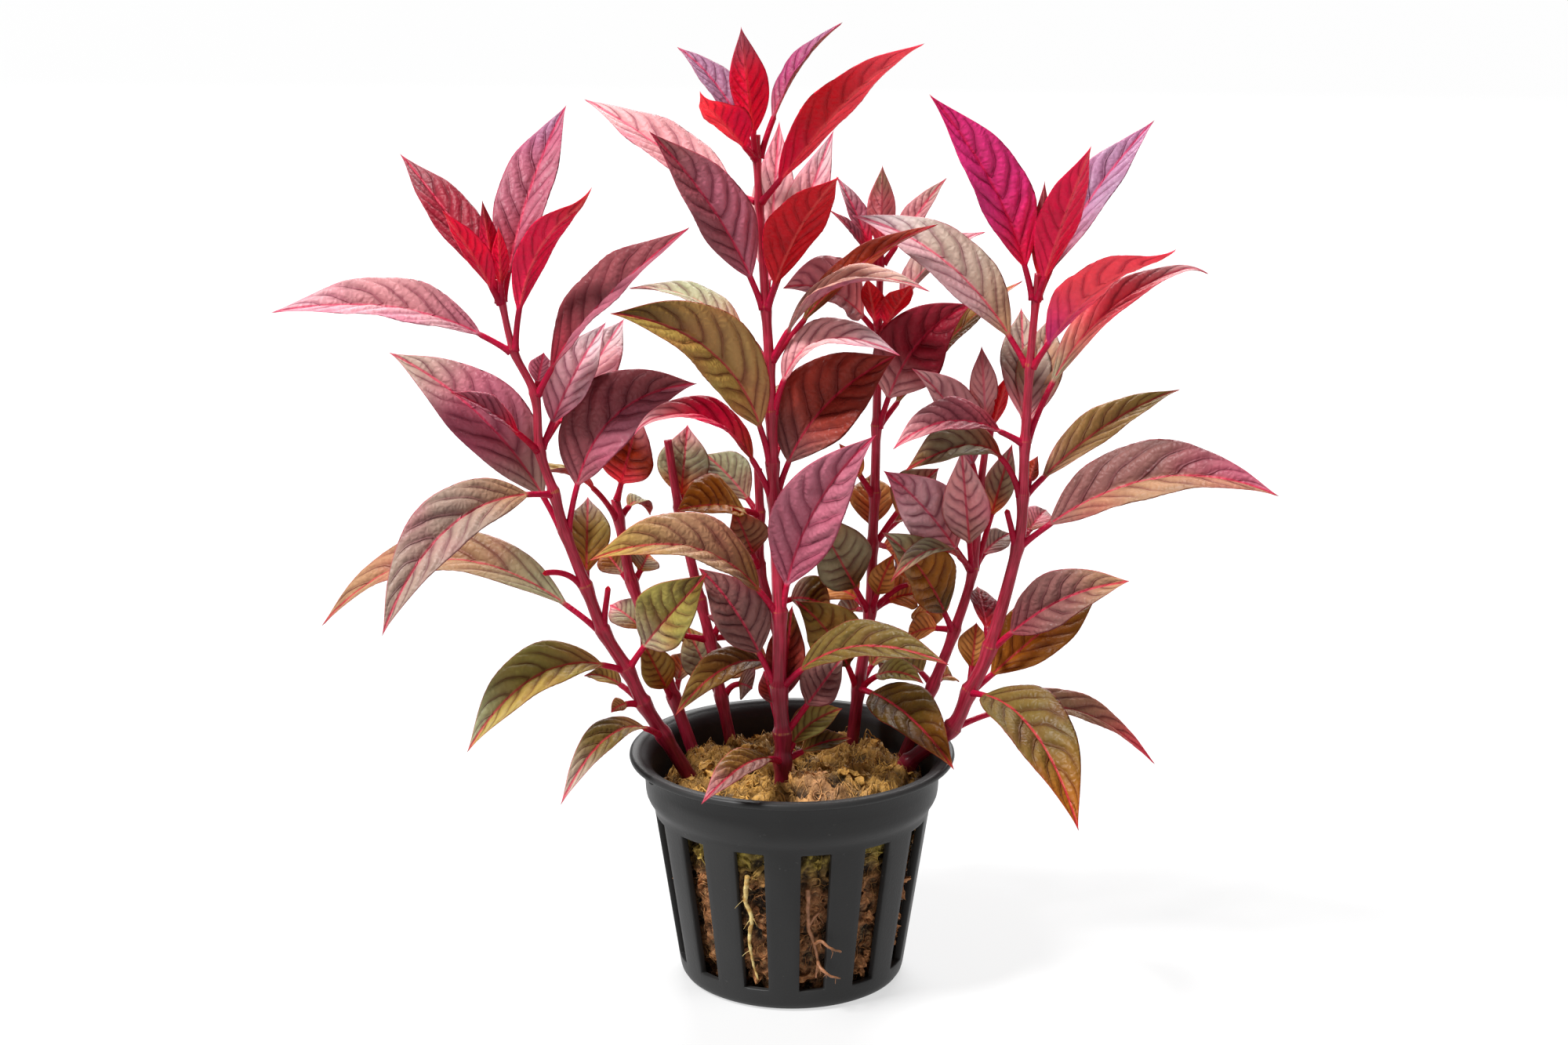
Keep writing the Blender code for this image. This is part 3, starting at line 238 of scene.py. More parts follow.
LEAVES["front_centre"] = (
    Leaf("centre_low_rose", 1, (-13.5, -35, 41), 6, (4, 2.5), (0, -0.6, 0.8), "dark_olive brown rose",
         half="dusky near", stalk=2.5, slot="brown_rose"),
    Leaf("centre_dusky_left", 3, (-14.5, -9, 70), 10, (1, 2), (0.3, -0.9, 0.3), "dusky dusky dusky",
         stalk=4.5, slot="dusky"),
    Leaf("centre_olive_right", 3, (23.5, -24, 59), 8.5, (7, 5.5), (0, -0.6, 0.8), "khaki khaki khaki",
         slot="olive"),
    Leaf("centre_bronze_arch", 4, (-30, -27, 76), 11.5, 8, (0, -0.6, 0.8), "brown bronze gold", stalk=3.5,
         slot="bronze"),
    Leaf("centre_mauve_front", 4, (12.5, -18, 93), 12, (4.4, 4.1), (-0.25, -0.95, 0.2),
         "orchid orchid orchid", slot="mauve"),
    Leaf("centre_red_curl", 5, (-24.5, -14, 93), 7.5, (6.8, 10.2), (0, -0.4, 0.9), "rust crimson pink",
         "rust crimson pale_pink", stalk=5, curl=40, slot="coral"),
    Leaf("centre_maroon_wide", 5, (16, -3, 102), 14.5, (5, 4.3), (-0.3, -0.85, 0.4), "dusky maroon maroon",
         stalk=4, slot="dusky"),
    Leaf("centre_olive_gold", 6, (-26.5, -25, 112.5), 12.5, (9, 8), (0.2, -0.8, 0.55),
         "olive olive dark_olive", half="gold near", stalk=5, slot="golden"),
    Leaf("centre_rose_arch", 7, (16, -16, 104.5), 7.5, (9.8, 8.5), (0, -0.5, 0.85), "rose pink pale_pink",
         "crimson red coral", stalk=4, slot="rose"),
    Leaf("centre_pale_arch", 8, (-25.5, 8, 110.5), 6.5, (4, 4.5), (0, -0.25, 0.95), "bronze pale_olive tan",
         stalk=4, slot="pale_olive"),
    Leaf("centre_pink_arch", 8, (20, -21, 115), 7, (8, 8.5), (0, -0.3, 0.95), "dusky sand tan",
         "silver mauve sand", stalk=4, slot="rose"),
    Leaf("centre_plum_up", 9, (-21, -14, 137.5), 10.6, (2.5, 2), (0.35, -0.85, 0.4), "orchid mauve dusky",
         half="plum left", stalk=4, slot="plum"),
    Leaf("centre_red_up", 9, (6.5, -27, 132.5), 9.5, (3, 2.5), (-0.2, 0.85, 0.5), "crimson red red",
         "red red red", stalk=3.5, fold=20, slot="coral"),
    Leaf("centre_red_long", 10, (18.5, -25, 151), 8.5, (1, 4), (-0.3, 0.75, 0.55), "crimson red coral",
         "crimson red coral", half="coral low", stalk=3.5, slot="coral"),
    Leaf("centre_pink_left", 10, (-32.5, 16, 139), 9.5, (-2.2, 0.5), (0.3, -0.7, 0.65), "pink rose pink",
         slot="pale_pink"),
    Leaf("centre_pale_back", 9, (-2, 18, 135.5), 7.5, 0, (0, -0.8, 0.6), "pink pink rose", slot="pale_pink"),
    Leaf("crinkled", 1, (8, -4, 45.5), 6, (3, 2), (-0.3, -0.8, 0.5), "green green gold", stalk=1),
    Leaf("withered", 1, (9.5, -4, 40.5), 4.5, 1, (0, -0.5, 0.8), "gold dark_olive gold", stalk=1),
    Leaf("purple_low", 2, (-4.5, -3, 51.5), 3.6, 0, (0, -1, 0.2), "dusky maroon plum"),
    Leaf("dusky_low", 2, (8, -9.5, 56), 7.5, 0, (-0.3, -0.9, 0.3), "dusky dusky tan", stalk=4),
    Leaf("dark_up", 2, (0, -4, 62.5), 7, 1, (-0.2, -0.9, 0.3), "dark_plum maroon dark_olive", stalk=4),
    Leaf("brown_behind", 7, (-14.5, 8, 102.5), 10, 2, (0, -0.8, 0.6), "brown rust dark_crimson", stalk=2),
    Leaf("back_hidden", 6, (4, 26, 90), 9, (5, 4), (0, -0.2, 0.95), "olive olive brown", stalk=5),
    Leaf("brown_arch", 8, (22, -5, 122.5), 6, (3, 4), (0, -0.4, 0.9), "brown rust rust", "rust rust rust",
         stalk=6),
    Leaf("pale_back_right", 9, (6.5, 14, 134.5), 7, 0, (0, -0.8, 0.6), "rose pink pale_pink", stalk=5),
    Leaf("top_red", 11, (-13.5, -22, 143), 7.5, (0, 0.5), (0.2, 0.8, 0.55), "crimson red coral",
         "crimson crimson coral", half="coral left", curl=-50),
    Leaf("top_magenta", 11, (7.5, 1, 152), 5.6, (2.5, 3.5), (-0.7, -0.3, 0.6), "orchid hot_pink lilac",
         stalk=5),
    Leaf("top_lilac", 11, (-17.5, 5, 148), 6, 2.5, (0.4, -0.75, 0.5), "hot_pink lilac lilac"),
    Leaf("top_bud", 11, (-7.5, -14, 152.5), 6.4, 0, (0.1, 0.9, 0.4), "crimson crimson dark_crimson",
         "crimson crimson orchid"),
)
LEAVES["front_right"] = (
    Leaf("right_low_rose", 2, (60.5, 16, 29), 7, (9.5, 7.5), (0, -0.5, 0.85), "rose bronze coral", stalk=5,
         slot="rose"),
    Leaf("right_hanging_olive", 3, (42.5, -33, 36), 12, 8, (0.2, -0.8, 0.6), "khaki khaki umber", stalk=2.5,
         slot="olive"),
    Leaf("right_olive_wide", 3, (50.5, 10, 62.5), 11.6, (0, 0.5), (-0.3, -0.8, 0.5), "umber umber brown",
         stalk=2.5, slot="olive"),
    Leaf("right_purple", 4, (52, -14, 69), 9.5, (2.4, 3.6), (-0.3, -0.8, 0.5), "dark_plum dusky bronze",
         stalk=2.5, curl=-35, slot="mauve"),
    Leaf("right_long_bronze", 5, (73.5, -14, 82.5), 12.5, (7, 9.6), (0, -0.6, 0.8), "dusky dusky mauve",
         half="bronze near", stalk=4, slot="bronze"),
    Leaf("right_olive_slim", 6, (61.5, 10, 94), 7, (2.6, 2.9), (0, -0.5, 0.85), "bronze olive gold",
         stalk=2.5, slot="olive"),
    Leaf("right_bronze_slim", 7, (66.5, 14, 113.5), 6.5, (10, 9), (-0.4, -0.6, 0.7), "pale_olive coral pink",
         stalk=8, curl=30, slot="bronze"),
    Leaf("right_plum_arch", 7, (15, -15, 90), 8, (4.2, 5.8), (0, -0.5, 0.85), "dark_crimson plum rose",
         slot="plum"),
    Leaf("right_coral", 8, (56, -20, 119.5), 9.5, (3.5, 6.2), (-0.3, 0.7, 0.65), "crimson coral coral",
         "magenta coral coral", stalk=3.5, fold=20, curl=-40, slot="coral"),
    Leaf("right_silver_long", 8, (9, 4, 122.5), 10.5, (5, 6), (0.2, -0.75, 0.6), "bronze silver pale_pink",
         half="silver_pink near", stalk=4, slot="silver"),
    Leaf("right_top_magenta", 9, (20, -11, 142.5), 10.5, (3.3, 2.6), (0.35, -0.85, 0.4),
         "crimson magenta magenta", stalk=4, slot="magenta"),
    Leaf("right_top_crimson", 9, (42.6, -23, 136.4), 7.5, 0.5, (-0.2, 0.85, 0.5), "crimson crimson crimson",
         "crimson crimson crimson", slot="crimson"),
    Leaf("right_top_lilac", 9, (56.5, 14, 136), 8.4, (3.7, 2.2), (-0.4, -0.75, 0.5), "orchid lilac lilac",
         stalk=3.5, slot="lilac"),
    Leaf("brown_behind", 3, (29.5, 5, 57), 6, (1, 0), (0, -1, 0.2), "umber golden golden", stalk=2),
    Leaf("red_behind", 4, (30, 12, 61), 5, 1, (0, 0.8, 0.5), "red dark_crimson rust", stalk=2),
    Leaf("pink_behind", 5, (40.5, 7, 75), 5, (0, 1), (0, -0.8, 0.6), "bronze rose tan"),
    Leaf("stub", 5, (33, -6, 78.5), 1.0, 0, (0, -1, 0), "crimson red red", stalk=9),
    Leaf("red_small", 6, (38, -2, 86), 3, 0, (0, 0.9, 0.3), "red dark_crimson red", "red rust rust", stalk=1),
    Leaf("brown_arch", 6, (17, -12, 86), 8.5, (10.4, 5.5), (0, -0.5, 0.85), "rust pale_olive brown", stalk=6),
    Leaf("pale_behind_left", 7, (36.5, 16, 106), 9, 0, (0.1, -0.95, 0.2), "pink silver silver"),
    Leaf("pale_behind_right", 7, (41, 14, 105), 8, 0, (-0.1, -0.95, 0.2), "pink bronze silver"),
    Leaf("bud", 9, (37.5, -8, 129.5), 3.4, 0, (0, 1, 0), "red dark_crimson dark_crimson",
         "red dark_crimson plum", stalk=2),
)
LEAVES["back_right"] = (
    Leaf("back_right_over_rim", 1, (25, -16, 39.5), 10, 3, (0, -0.75, 0.65), "dark_olive dark_olive umber",
         stalk=2.5, slot="olive"),
    Leaf("back_right_maroon", 5, (28.5, 11, 107.5), 12.5, (3.5, 5), (0.05, -0.9, 0.35),
         "pink dark_crimson dark_crimson", stalk=4, slot="dusky"),
    Leaf("back_right_far", 5, (38.5, 36, 107), 7.5, (2, 3), (-0.4, -0.4, 0.8), "brown brown olive", stalk=3.5,
         slot="olive"),
    Leaf("dark_low_left", 1, (0.5, 7, 60), 11, 2, (0.2, -0.9, 0.3), "dark_olive gold dark_olive"),
    Leaf("dark_left", 2, (3.1, 6, 75.3), 11, 0, (0.2, -0.9, 0.3), "dark_olive pale_olive olive", stalk=4),
    Leaf("gold_behind", 2, (4, 28, 56), 10, 2, (0, -0.8, 0.6), "umber golden olive", stalk=2),
    Leaf("golden_right", 2, (22.7, 20, 50.5), 9, (10, 7), (0, -0.5, 0.8), "golden golden olive", stalk=6),
    Leaf("tan_right", 3, (24, 19, 79), 8, 1, (-0.2, -0.8, 0.5), "olive pale_olive silver", stalk=5),
    Leaf("gold_left", 4, (7.5, 11, 85), 4, 0, (0.2, -0.9, 0.3), "golden golden gold"),
    Leaf("mauve_left", 6, (-1.5, 5, 111), 12, (3, 4), (0.1, -0.7, 0.7), "pink rose silver_pink"),
    Leaf("red_right", 6, (18.5, 3, 112), 5.5, 0, (-0.2, 0.8, 0.5), "crimson red red", "crimson red red",
         stalk=2),
    Leaf("red_left", 6, (11.5, 3, 113), 4.2, 0, (0.2, 0.8, 0.5), "crimson red red", "crimson red red",
         stalk=2),
    Leaf("far_right", 6, (31.5, 27, 116.5), 7, (3, 4), (-0.3, -0.4, 0.85), "rose silver silver_pink",
         stalk=5),
    Leaf("top_left", 7, (7, 20, 126.5), 4.2, (0, 0.5), (0.4, -0.7, 0.5), "crimson orchid pale_pink", stalk=2),
    Leaf("top_right", 7, (24.5, 18, 126.5), 4.6, (0, 0.5), (-0.4, -0.7, 0.5), "crimson rose silver", stalk=2),
    Leaf("top_bud", 7, (14, 10, 129.5), 5, 0, (0, 0.9, 0.4), "crimson rose rose", "crimson rose pale_olive",
         stalk=2),
    Leaf("low_left", 7, (6, 13, 122), 3, (0, 0.5), (0.3, -0.5, 0.8), "crimson orchid rose", stalk=2),
    Leaf("gold_right", 3, (18.7, 27, 56.5), 8, 3, (0, -0.8, 0.6), "golden golden umber"),
    Leaf("olive_low", 1, (19.5, 29, 46.5), 7, 3, (0, -0.7, 0.7), "olive green olive"),
    Leaf("pale_arch", 3, (25, 27, 67.5), 4.5, 4, (0, -0.4, 0.9), "olive tan tan", stalk=4),
    Leaf("pale_low", 2, (6.9, 27, 50.5), 6, 1, (0, -0.8, 0.6), "gold pale_olive green", stalk=2),
    Leaf("gold_up", 2, (21, 21, 57), 7.5, 1, (0, -0.8, 0.6), "golden golden golden", stalk=2),
    Leaf("dark_low", 1, (21.2, 4, 47), 5, 3, (0, -0.7, 0.7), "pale_olive green green"),
    Leaf("olive_behind", 3, (13, 25, 76.5), 8, 1, (0, -0.85, 0.5), "olive golden olive", stalk=2),
    Leaf("umber_right", 2, (16.4, 10, 67), 5, 0.5, (0, -0.9, 0.4), "umber golden umber", stalk=2),
)
LEAVES["mid_right"] = (
    Leaf("mid_right_green", 2, (14, -1, 73.5), 10.4, (1.8, 2.4), (0.3, -0.85, 0.4),
         "dark_olive umber pale_olive", stalk=2.5, slot="green"),
    Leaf("mid_right_mauve", 3, (14.5, 9, 81), 11, (1, 1.5), (0.3, -0.95, 0.15), "rose silver_pink mauve",
         slot="mauve"),
    Leaf("mid_right_rose", 4, (18.5, 2, 99), 9, 3.5, (0.3, -0.8, 0.5), "mauve rose pink", stalk=3.5,
         slot="rose"),
    Leaf("green_low", 1, (15.5, 23, 42), 8, (4, 3), (0, -0.4, 0.9), "green green olive", stalk=2),
    Leaf("rose_arch", 3, (15, -9, 67.5), 5, (6, 5), (0, -0.4, 0.9), "olive pale_olive bronze"),
    Leaf("mauve_upright", 3, (26.6, 4.5, 85.5), 8.5, 0, (-0.1, -0.95, 0.3), "silver pink pink", stalk=4),
    Leaf("olive_slim", 3, (35.5, 15, 84), 5.5, 0, (-0.2, -0.9, 0.3), "golden pale_olive tan", stalk=8),
    Leaf("pale_right", 3, (36, 21, 67.5), 4.8, (2, 1), (0, -0.8, 0.5), "rose tan tan", stalk=2),
    Leaf("bud", 5, (29.5, 5, 102), 5, 0, (0, 0.9, 0.4), "crimson dark_crimson dark_crimson", "red pink plum",
         stalk=1),
    Leaf("red_left", 5, (30, 9, 94.5), 3, 0, (0, 0.9, 0.2), "crimson red red", "crimson red red", stalk=1),
    Leaf("red_right", 5, (34, 8, 97), 3, 0, (0, 0.9, 0.2), "crimson red red", "red red red", stalk=1),
    Leaf("yellow_low", 1, (26.5, 15, 44.5), 5, 1, (0, -0.8, 0.6), "green golden green", stalk=1),
    Leaf("golden_low", 2, (19, 18, 50.5), 6, 1, (0, -0.8, 0.6), "golden golden golden", stalk=2),
)
LEAVES["back_left_inner"] = (
    Leaf("low_olive", 1, (-17.5, 20, 52), 8, 0, (0, -0.8, 0.6), "olive pale_olive gold", stalk=1),
    Leaf("orange", 4, (-17.2, 27, 84.5), 9.5, 0, (0, -0.9, 0.4), "golden pale_olive rose", stalk=1),
    Leaf("small_left", 2, (-20.1, 14, 52.5), 5, 0, (0, -0.6, 0.8), "olive olive olive"),
    Leaf("small_right", 2, (-11.3, 17.5, 54.5), 4.5, 0, (0, -0.6, 0.8), "brown rose rose", stalk=1),
    Leaf("tan_low", 1, (-6.5, 15, 42.5), 7, 2, (0, -0.8, 0.6), "brown silver tan", stalk=2),
    Leaf("brown_low", 2, (-6.8, 22, 47.5), 8, 1, (0, -0.8, 0.6), "umber brown umber", stalk=2),
)
LEAVES["back_left_outer"] = (
    Leaf("low_green", 1, (-24.5, 8, 53.5), 6.5, 0, (0, -0.8, 0.6), "umber gold olive", stalk=1),
    Leaf("red_brown_upright", 5, (-24.5, 16, 89), 10, 0, (0, -0.95, 0.3), "coral rust pink", stalk=2),
    Leaf("tan_arch", 4, (-44, 6, 80), 4.5, (5, 6), (0, -0.1, 1), "olive gold tan", stalk=6),
    Leaf("small_arch", 4, (-23.5, 27, 69), 4.5, 3, (0, -0.2, 0.9), "olive pale_olive tan", stalk=1),
    Leaf("small_left", 3, (-31.5, 25, 64), 6, 0, (0, -0.9, 0.4), "pale_olive brown golden", stalk=1),
    Leaf("small_right", 3, (-23.6, 23, 63.5), 6, 0, (0, -0.9, 0.4), "gold pale_olive golden", stalk=1),
    Leaf("low_left", 2, (-30.5, 25, 54), 6.5, 1, (0, -0.8, 0.6), "umber pale_olive rose", stalk=2),
    Leaf("yellow_low", 1, (-17.6, 24.5, 46), 5, 1, (0, -0.8, 0.6), "pale_olive golden green", stalk=2),
    Leaf("grey_low", 2, (-17.6, 28, 47.5), 6.5, 1, (0, -0.8, 0.6), "olive pale_olive silver", stalk=2),
)
LEAVES["back_centre"] = (
    Leaf("olive_left", 4, (-18.5, 6, 75), 11, 1.5, (0, -0.6, 0.8), "gold umber umber", stalk=2),
    Leaf("pale_left", 4, (-14.5, 29, 79), 8.5, 1, (0, -0.9, 0.4), "pale_olive pale_olive pale_olive",
         stalk=2),
    Leaf("red_left", 3, (-9.5, 9, 75), 8, 0, (0, -0.8, 0.5), "maroon bronze rust", stalk=2),
    Leaf("low_back", 1, (-11, 25, 42), 9, 1, (0, -0.7, 0.7), "olive olive brown", stalk=2),
    Leaf("brown_low_arch", 1, (-18.5, -5, 44.5), 7, (6, 5), (0, -0.6, 0.8), "dark_olive brown green"),
    Leaf("gold_left", 3, (-11.5, 22, 66), 7, 2, (0, -0.8, 0.6), "golden golden olive", stalk=2),
    Leaf("dark_right", 2, (6.5, 17, 55.5), 8, (3, 2), (0, -0.8, 0.6), "silver dark_olive olive", stalk=2),
)


def linear(tone):
    """A named colour as linear red, green and blue."""
    parts = [(TONES[tone] >> shift & 255) / 255 for shift in (16, 8, 0)]
    return np.array([p / 12.92 if p <= 0.04045 else ((p + 0.055) / 1.055) ** 2.4 for p in parts])


def make_piece(name, points, faces, smooth=True):
    """A mesh object from points in millimetres."""
    mesh = bpy.data.meshes.new(name)
    mesh.from_pydata((np.asarray(points) * MM).tolist(), [], faces)
    mesh.validate()
    if smooth:
        mesh.shade_smooth()
    piece = bpy.data.objects.new(name, mesh)
    bpy.context.scene.collection.objects.link(piece)
    return piece


def add_vectors(piece, name, values):
    """Store one vector per point, for the materials to read."""
    attribute = piece.data.attributes.new(name, "FLOAT_VECTOR", "POINT")
    attribute.data.foreach_set("vector", np.asarray(values, np.float32).ravel())


def add_colours(piece, name, values):
    """Store one linear colour per point, for the materials to read."""
    attribute = piece.data.attributes.new(name, "FLOAT_COLOR", "POINT")
    rgba = np.ones((len(values), 4), np.float32)
    rgba[:, :3] = values
    attribute.data.foreach_set("color", rgba.ravel())


def dress(piece, material, slot, *nodes):
    """Give a piece its material, its body and the solids that it stands for; the slot is not used."""
    piece.data.materials.clear()
    piece.data.materials.append(material)
    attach(piece, "root")
    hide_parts(*nodes)
    return piece


def unit(vectors):
    """Each row scaled to length one."""
    return vectors / np.linalg.norm(vectors, axis=-1, keepdims=True)


def smooth_step(low, high, values):
    """0 below low, 1 above high, and an even slope between."""
    share = np.clip((values - low) / (high - low), 0, 1)
    return share * share * (3 - 2 * share)


def ring_faces(rings, sides):
    """Quads between rings of equal size, one ring after the other."""
    faces = []
    for ring in range(rings - 1):
        low = ring * sides
        for side in range(sides):
            beside = (side + 1) % sides
            faces.append((low + side, low + beside, low + sides + beside, low + sides + side))
    return faces


def stem_radius(stem, height):
    """Radius of a stem between its nodes, by height."""
    foot, top = stem.route[0][2], stem.route[-1][2]
    share = min(max((height - foot) / (top - foot), 0.0), 1.0)
    return stem.foot_radius + (stem.top_radius - stem.foot_radius) * share


def leaf_base(stem, leaf):
    """Where a leaf's midrib starts: just off the middle of its node, on the tip's side."""
    node = Vector(stem.route[leaf.node])
    out = Vector(leaf.tip) - node
    out.z = 0
    above = stem.route[min(leaf.node + 1, len(stem.route) - 1)]
    along = (Vector(above) - Vector(stem.route[leaf.node - 1])).normalized()
    out = (out - along * out.dot(along)).normalized()
    return node + out * 0.5


def midrib(base, leaf, steps):
    """Evenly spaced points along the midrib, and its length."""
    tip = Vector(leaf.tip)
    chord = tip - base
    lift = Vector((0, 0, 1)) - chord * (chord.z / chord.length_squared)
    lift = lift.normalized()
    low_rise, high_rise = leaf.rise if isinstance(leaf.rise, tuple) else (leaf.rise, leaf.rise)
    first = base + chord / 3 + lift * low_rise
    second = base + chord * 2 / 3 + lift * high_rise
    t = np.linspace(0, 1, 161)[:, None]
    s = 1 - t
    curve = (np.array(base) * s ** 3 + np.array(first) * 3 * s * s * t
             + np.array(second) * 3 * s * t * t + np.array(tip) * t ** 3)
    lengths = np.concatenate([[0], np.cumsum(np.linalg.norm(np.diff(curve, axis=0), axis=1))])
    wanted = np.linspace(0, lengths[-1], steps)
    return np.stack([np.interp(wanted, lengths, curve[:, k]) for k in range(3)], axis=1), lengths[-1]


def curl_tip(path, leaf):
    """Turn the end of the midrib, towards the under side for a positive angle."""
    start = int(len(path) * CURL_START)
    ahead = path[start] - path[start - 1]
    across = unit(np.cross(ahead, np.array(leaf.face, float)))
    turned = path.copy()
    for i in range(start + 1, len(path)):
        angle = -math.radians(leaf.curl) * (i - start) / (len(path) - 1 - start)
        stretch = path[i] - path[i - 1]
        turned[i] = turned[i - 1] + (stretch * math.cos(angle) + np.cross(across, stretch) * math.sin(angle)
                                     + across * (across @ stretch) * (1 - math.cos(angle)))
    return turned


def blade_width(share):
    """Share of the full width: drawn out at the base, widest at WIDEST, pointed."""
    base_power = TIP_TAPER * WIDEST / (1 - WIDEST)
    inside = np.clip(share, 1e-6, 1 - 1e-6)
    width = (inside / WIDEST) ** base_power * ((1 - inside) / (1 - WIDEST)) ** TIP_TAPER
    return np.where((share > 0) & (share < 1), width, 0.0)


def ramp(tones, share):
    """Three named tones blended from base to tip."""
    base, middle, tip = (linear(t) for t in tones.split())
    first = smooth_step(0.02, 0.42, share)[..., None]
    last = smooth_step(0.5, 0.95, share)[..., None]
    return (base * (1 - first) + middle * first) * (1 - last) + tip * last


def blade_height(leaf, half_width, ring_v, s, run):
    """Height of the folded, quilted blade at each point, and the phase that its side veins follow."""
    a, side_sign = np.abs(ring_v)[None, :], np.sign(ring_v)[None, :]
    wobble = (0.1 * np.sin(s * 11 + 6 * run + 2 * side_sign) + 0.04 * np.sin(s * 23 + 9 * run + side_sign)
              + 0.03 * np.sin(a * 7 + s * 31 + 5 * run))
    lean = VEIN_LEAN * (0.55 * a + 0.45 * a * a) * (1.4 - 0.4 * s)
    phase = VEIN_PAIRS * (s - lean) + 0.25 * side_sign + wobble
    between = phase - np.floor(phase)
    pillow = (4 * between * (1 - between)) ** 0.9 * (0.75 + 0.5 * between)
    pillow = pillow * (0.85 + 0.3 * np.sin(np.floor(phase) * 2.4 + 5 * side_sign + 8 * run))
    grown = np.clip(half_width / 5.0, 0, 1)[:, None]
    envelope = grown * np.clip(np.sin(np.pi * np.clip(s, 0, 1)), 0, 1) ** 0.5
    bulge = QUILT * envelope * pillow * np.clip(np.sin(np.pi * np.clip(a, 0, 1) ** 0.85), 0, 1) ** 0.6
    shoulder = 0.22 * envelope * (1 - np.exp(-a * half_width[:, None] / 0.5))
    ripple = 0.3 * envelope * a ** 3 * np.sin(s * 17 + 7 * run + 2 * side_sign)
    pucker = (0.1 * envelope * np.sin(a * 13 + 3 * np.sin(phase * 6.28 + run))
              * np.sin(phase * 12.57 + 9 * a + run))
    lift = half_width[:, None] * math.sin(math.radians(leaf.fold)) * a * (1.3 - 0.3 * a)
    return lift + bulge + shoulder + ripple + pucker, phase


def leaf_faces(stations, ring_v, count):
    """Triangles that mirror each other on the two halves, and a fan at the tip and at the base."""
    sides = len(ring_v)
    last = (stations - 2) * sides
    faces = []
    for side in range(sides):
        beside = (side + 1) % sides
        inner, outer = (side, beside) if abs(ring_v[side]) < abs(ring_v[beside]) else (beside, side)
        for low in range(0, last, sides):
            high = low + sides
            first = (low + inner, low + outer, high + outer)
            second = (low + inner, high + outer, high + inner)
            faces += [first, second] if inner == side else [first[::-1], second[::-1]]
        faces += [(last + side, last + beside, count - 2), (beside, side, count - 1)]
    return [tuple(reversed(face)) for face in faces]


def build_leaf(stem, leaf, name, stations, columns, rng):
    """A thin closed leaf: round stalk, folded blade, quilted between its side veins."""
    base = leaf_base(stem, leaf)
    path, length = midrib(base, leaf, stations)
    if leaf.curl:
        path = curl_tip(path, leaf)
    shares = np.linspace(0, 1, stations)
    node_radius = stem_radius(stem, stem.route[leaf.node][2]) * NODE_SWELL
    stalk = min((leaf.stalk + node_radius) / length, 0.9)
    blade = (shares - stalk) / (1 - stalk)
    ahead = unit(np.gradient(path, axis=0))
    face = np.array(leaf.face, float)
    normal = unit(face - ahead * (ahead @ face)[:, None])
    across = np.cross(ahead, normal)
    half = leaf.width / 2 * blade_width(blade)
    past_middle = blade > WIDEST
    half_width = np.maximum(half, np.where(past_middle, 0.04, PETIOLE_RADIUS * 0.9))
    open_out = np.where(past_middle, 1.0, smooth_step(0, 1, half / PETIOLE_RADIUS - 0.6))[:, None]

    v = np.linspace(-1, 1, columns + 1)
    ring_v = np.concatenate([v, v[-2:0:-1]])
    upper = np.concatenate([np.ones(columns + 1), -np.ones(columns - 1)])
    a = np.abs(ring_v)[None, :]
    s = blade[:, None]
    height, phase = blade_height(leaf, half_width, ring_v, s, rng.uniform(0, 1))
    spread = half_width[:, None] * math.cos(math.radians(leaf.fold)) * ring_v[None, :]
    thickness = (EDGE_THICKNESS + (RIB_THICKNESS - EDGE_THICKNESS)
                 * np.exp(-(a * half_width[:, None] / 0.35) ** 2) * (1 - 0.6 * np.clip(s, 0, 1)))
    thickness = thickness * np.sqrt(np.clip(1 - a ** 8, 0, 1)) * np.where(upper > 0, 0.3, 1)[None, :]
    flat_up = height + upper[None, :] * thickness / 2
    flare = PETIOLE_RADIUS * (1 + PETIOLE_FLARE * np.exp(-shares * length / (node_radius * 1.1)))[:, None]
    turn = np.pi / 2 * ring_v[None, :]
    round_across = flare * np.sin(turn)
    round_up = flare * np.cos(turn) * upper[None, :]
    u_across = round_across * (1 - open_out) + spread * open_out
    u_up = round_up * (1 - open_out) + flat_up * open_out
    points = (path[:, None] + across[:, None] * u_across[..., None]
              + normal[:, None] * u_up[..., None]).reshape(-1, 3)
    sides = len(ring_v)
    points = np.vstack([points[:-sides], path[-1:], path[:1]])

    piece = make_piece(name, points, leaf_faces(stations, ring_v, len(points)))

    shape = (stations, sides)
    place = np.stack([np.broadcast_to(s, shape), np.broadcast_to(ring_v[None, :], shape),
                      np.broadcast_to((1 - upper[None, :]) / 2, shape)], axis=-1)
    on_blade = np.broadcast_to(open_out, shape)
    off_blade = 9 * (1 - on_blade)
    lines = np.stack([np.broadcast_to(phase, shape), a * half_width[:, None] + off_blade,
                      (1 - a) * half_width[:, None] + off_blade], axis=-1)
    tone = leaf_tones(leaf, s, ring_v, upper, across[stations // 2], shape)
    tone = tone * on_blade[..., None] + linear("crimson") * 0.6 * (1 - on_blade[..., None])
    for attribute, values, add in (("place", place, add_vectors), ("lines", lines, add_vectors),
                                   ("tone", tone, add_colours)):
        values = values.reshape(-1, 3)
        add(piece, attribute, np.vstack([values[:-sides], values[-1:], values[:1]]))
    return piece


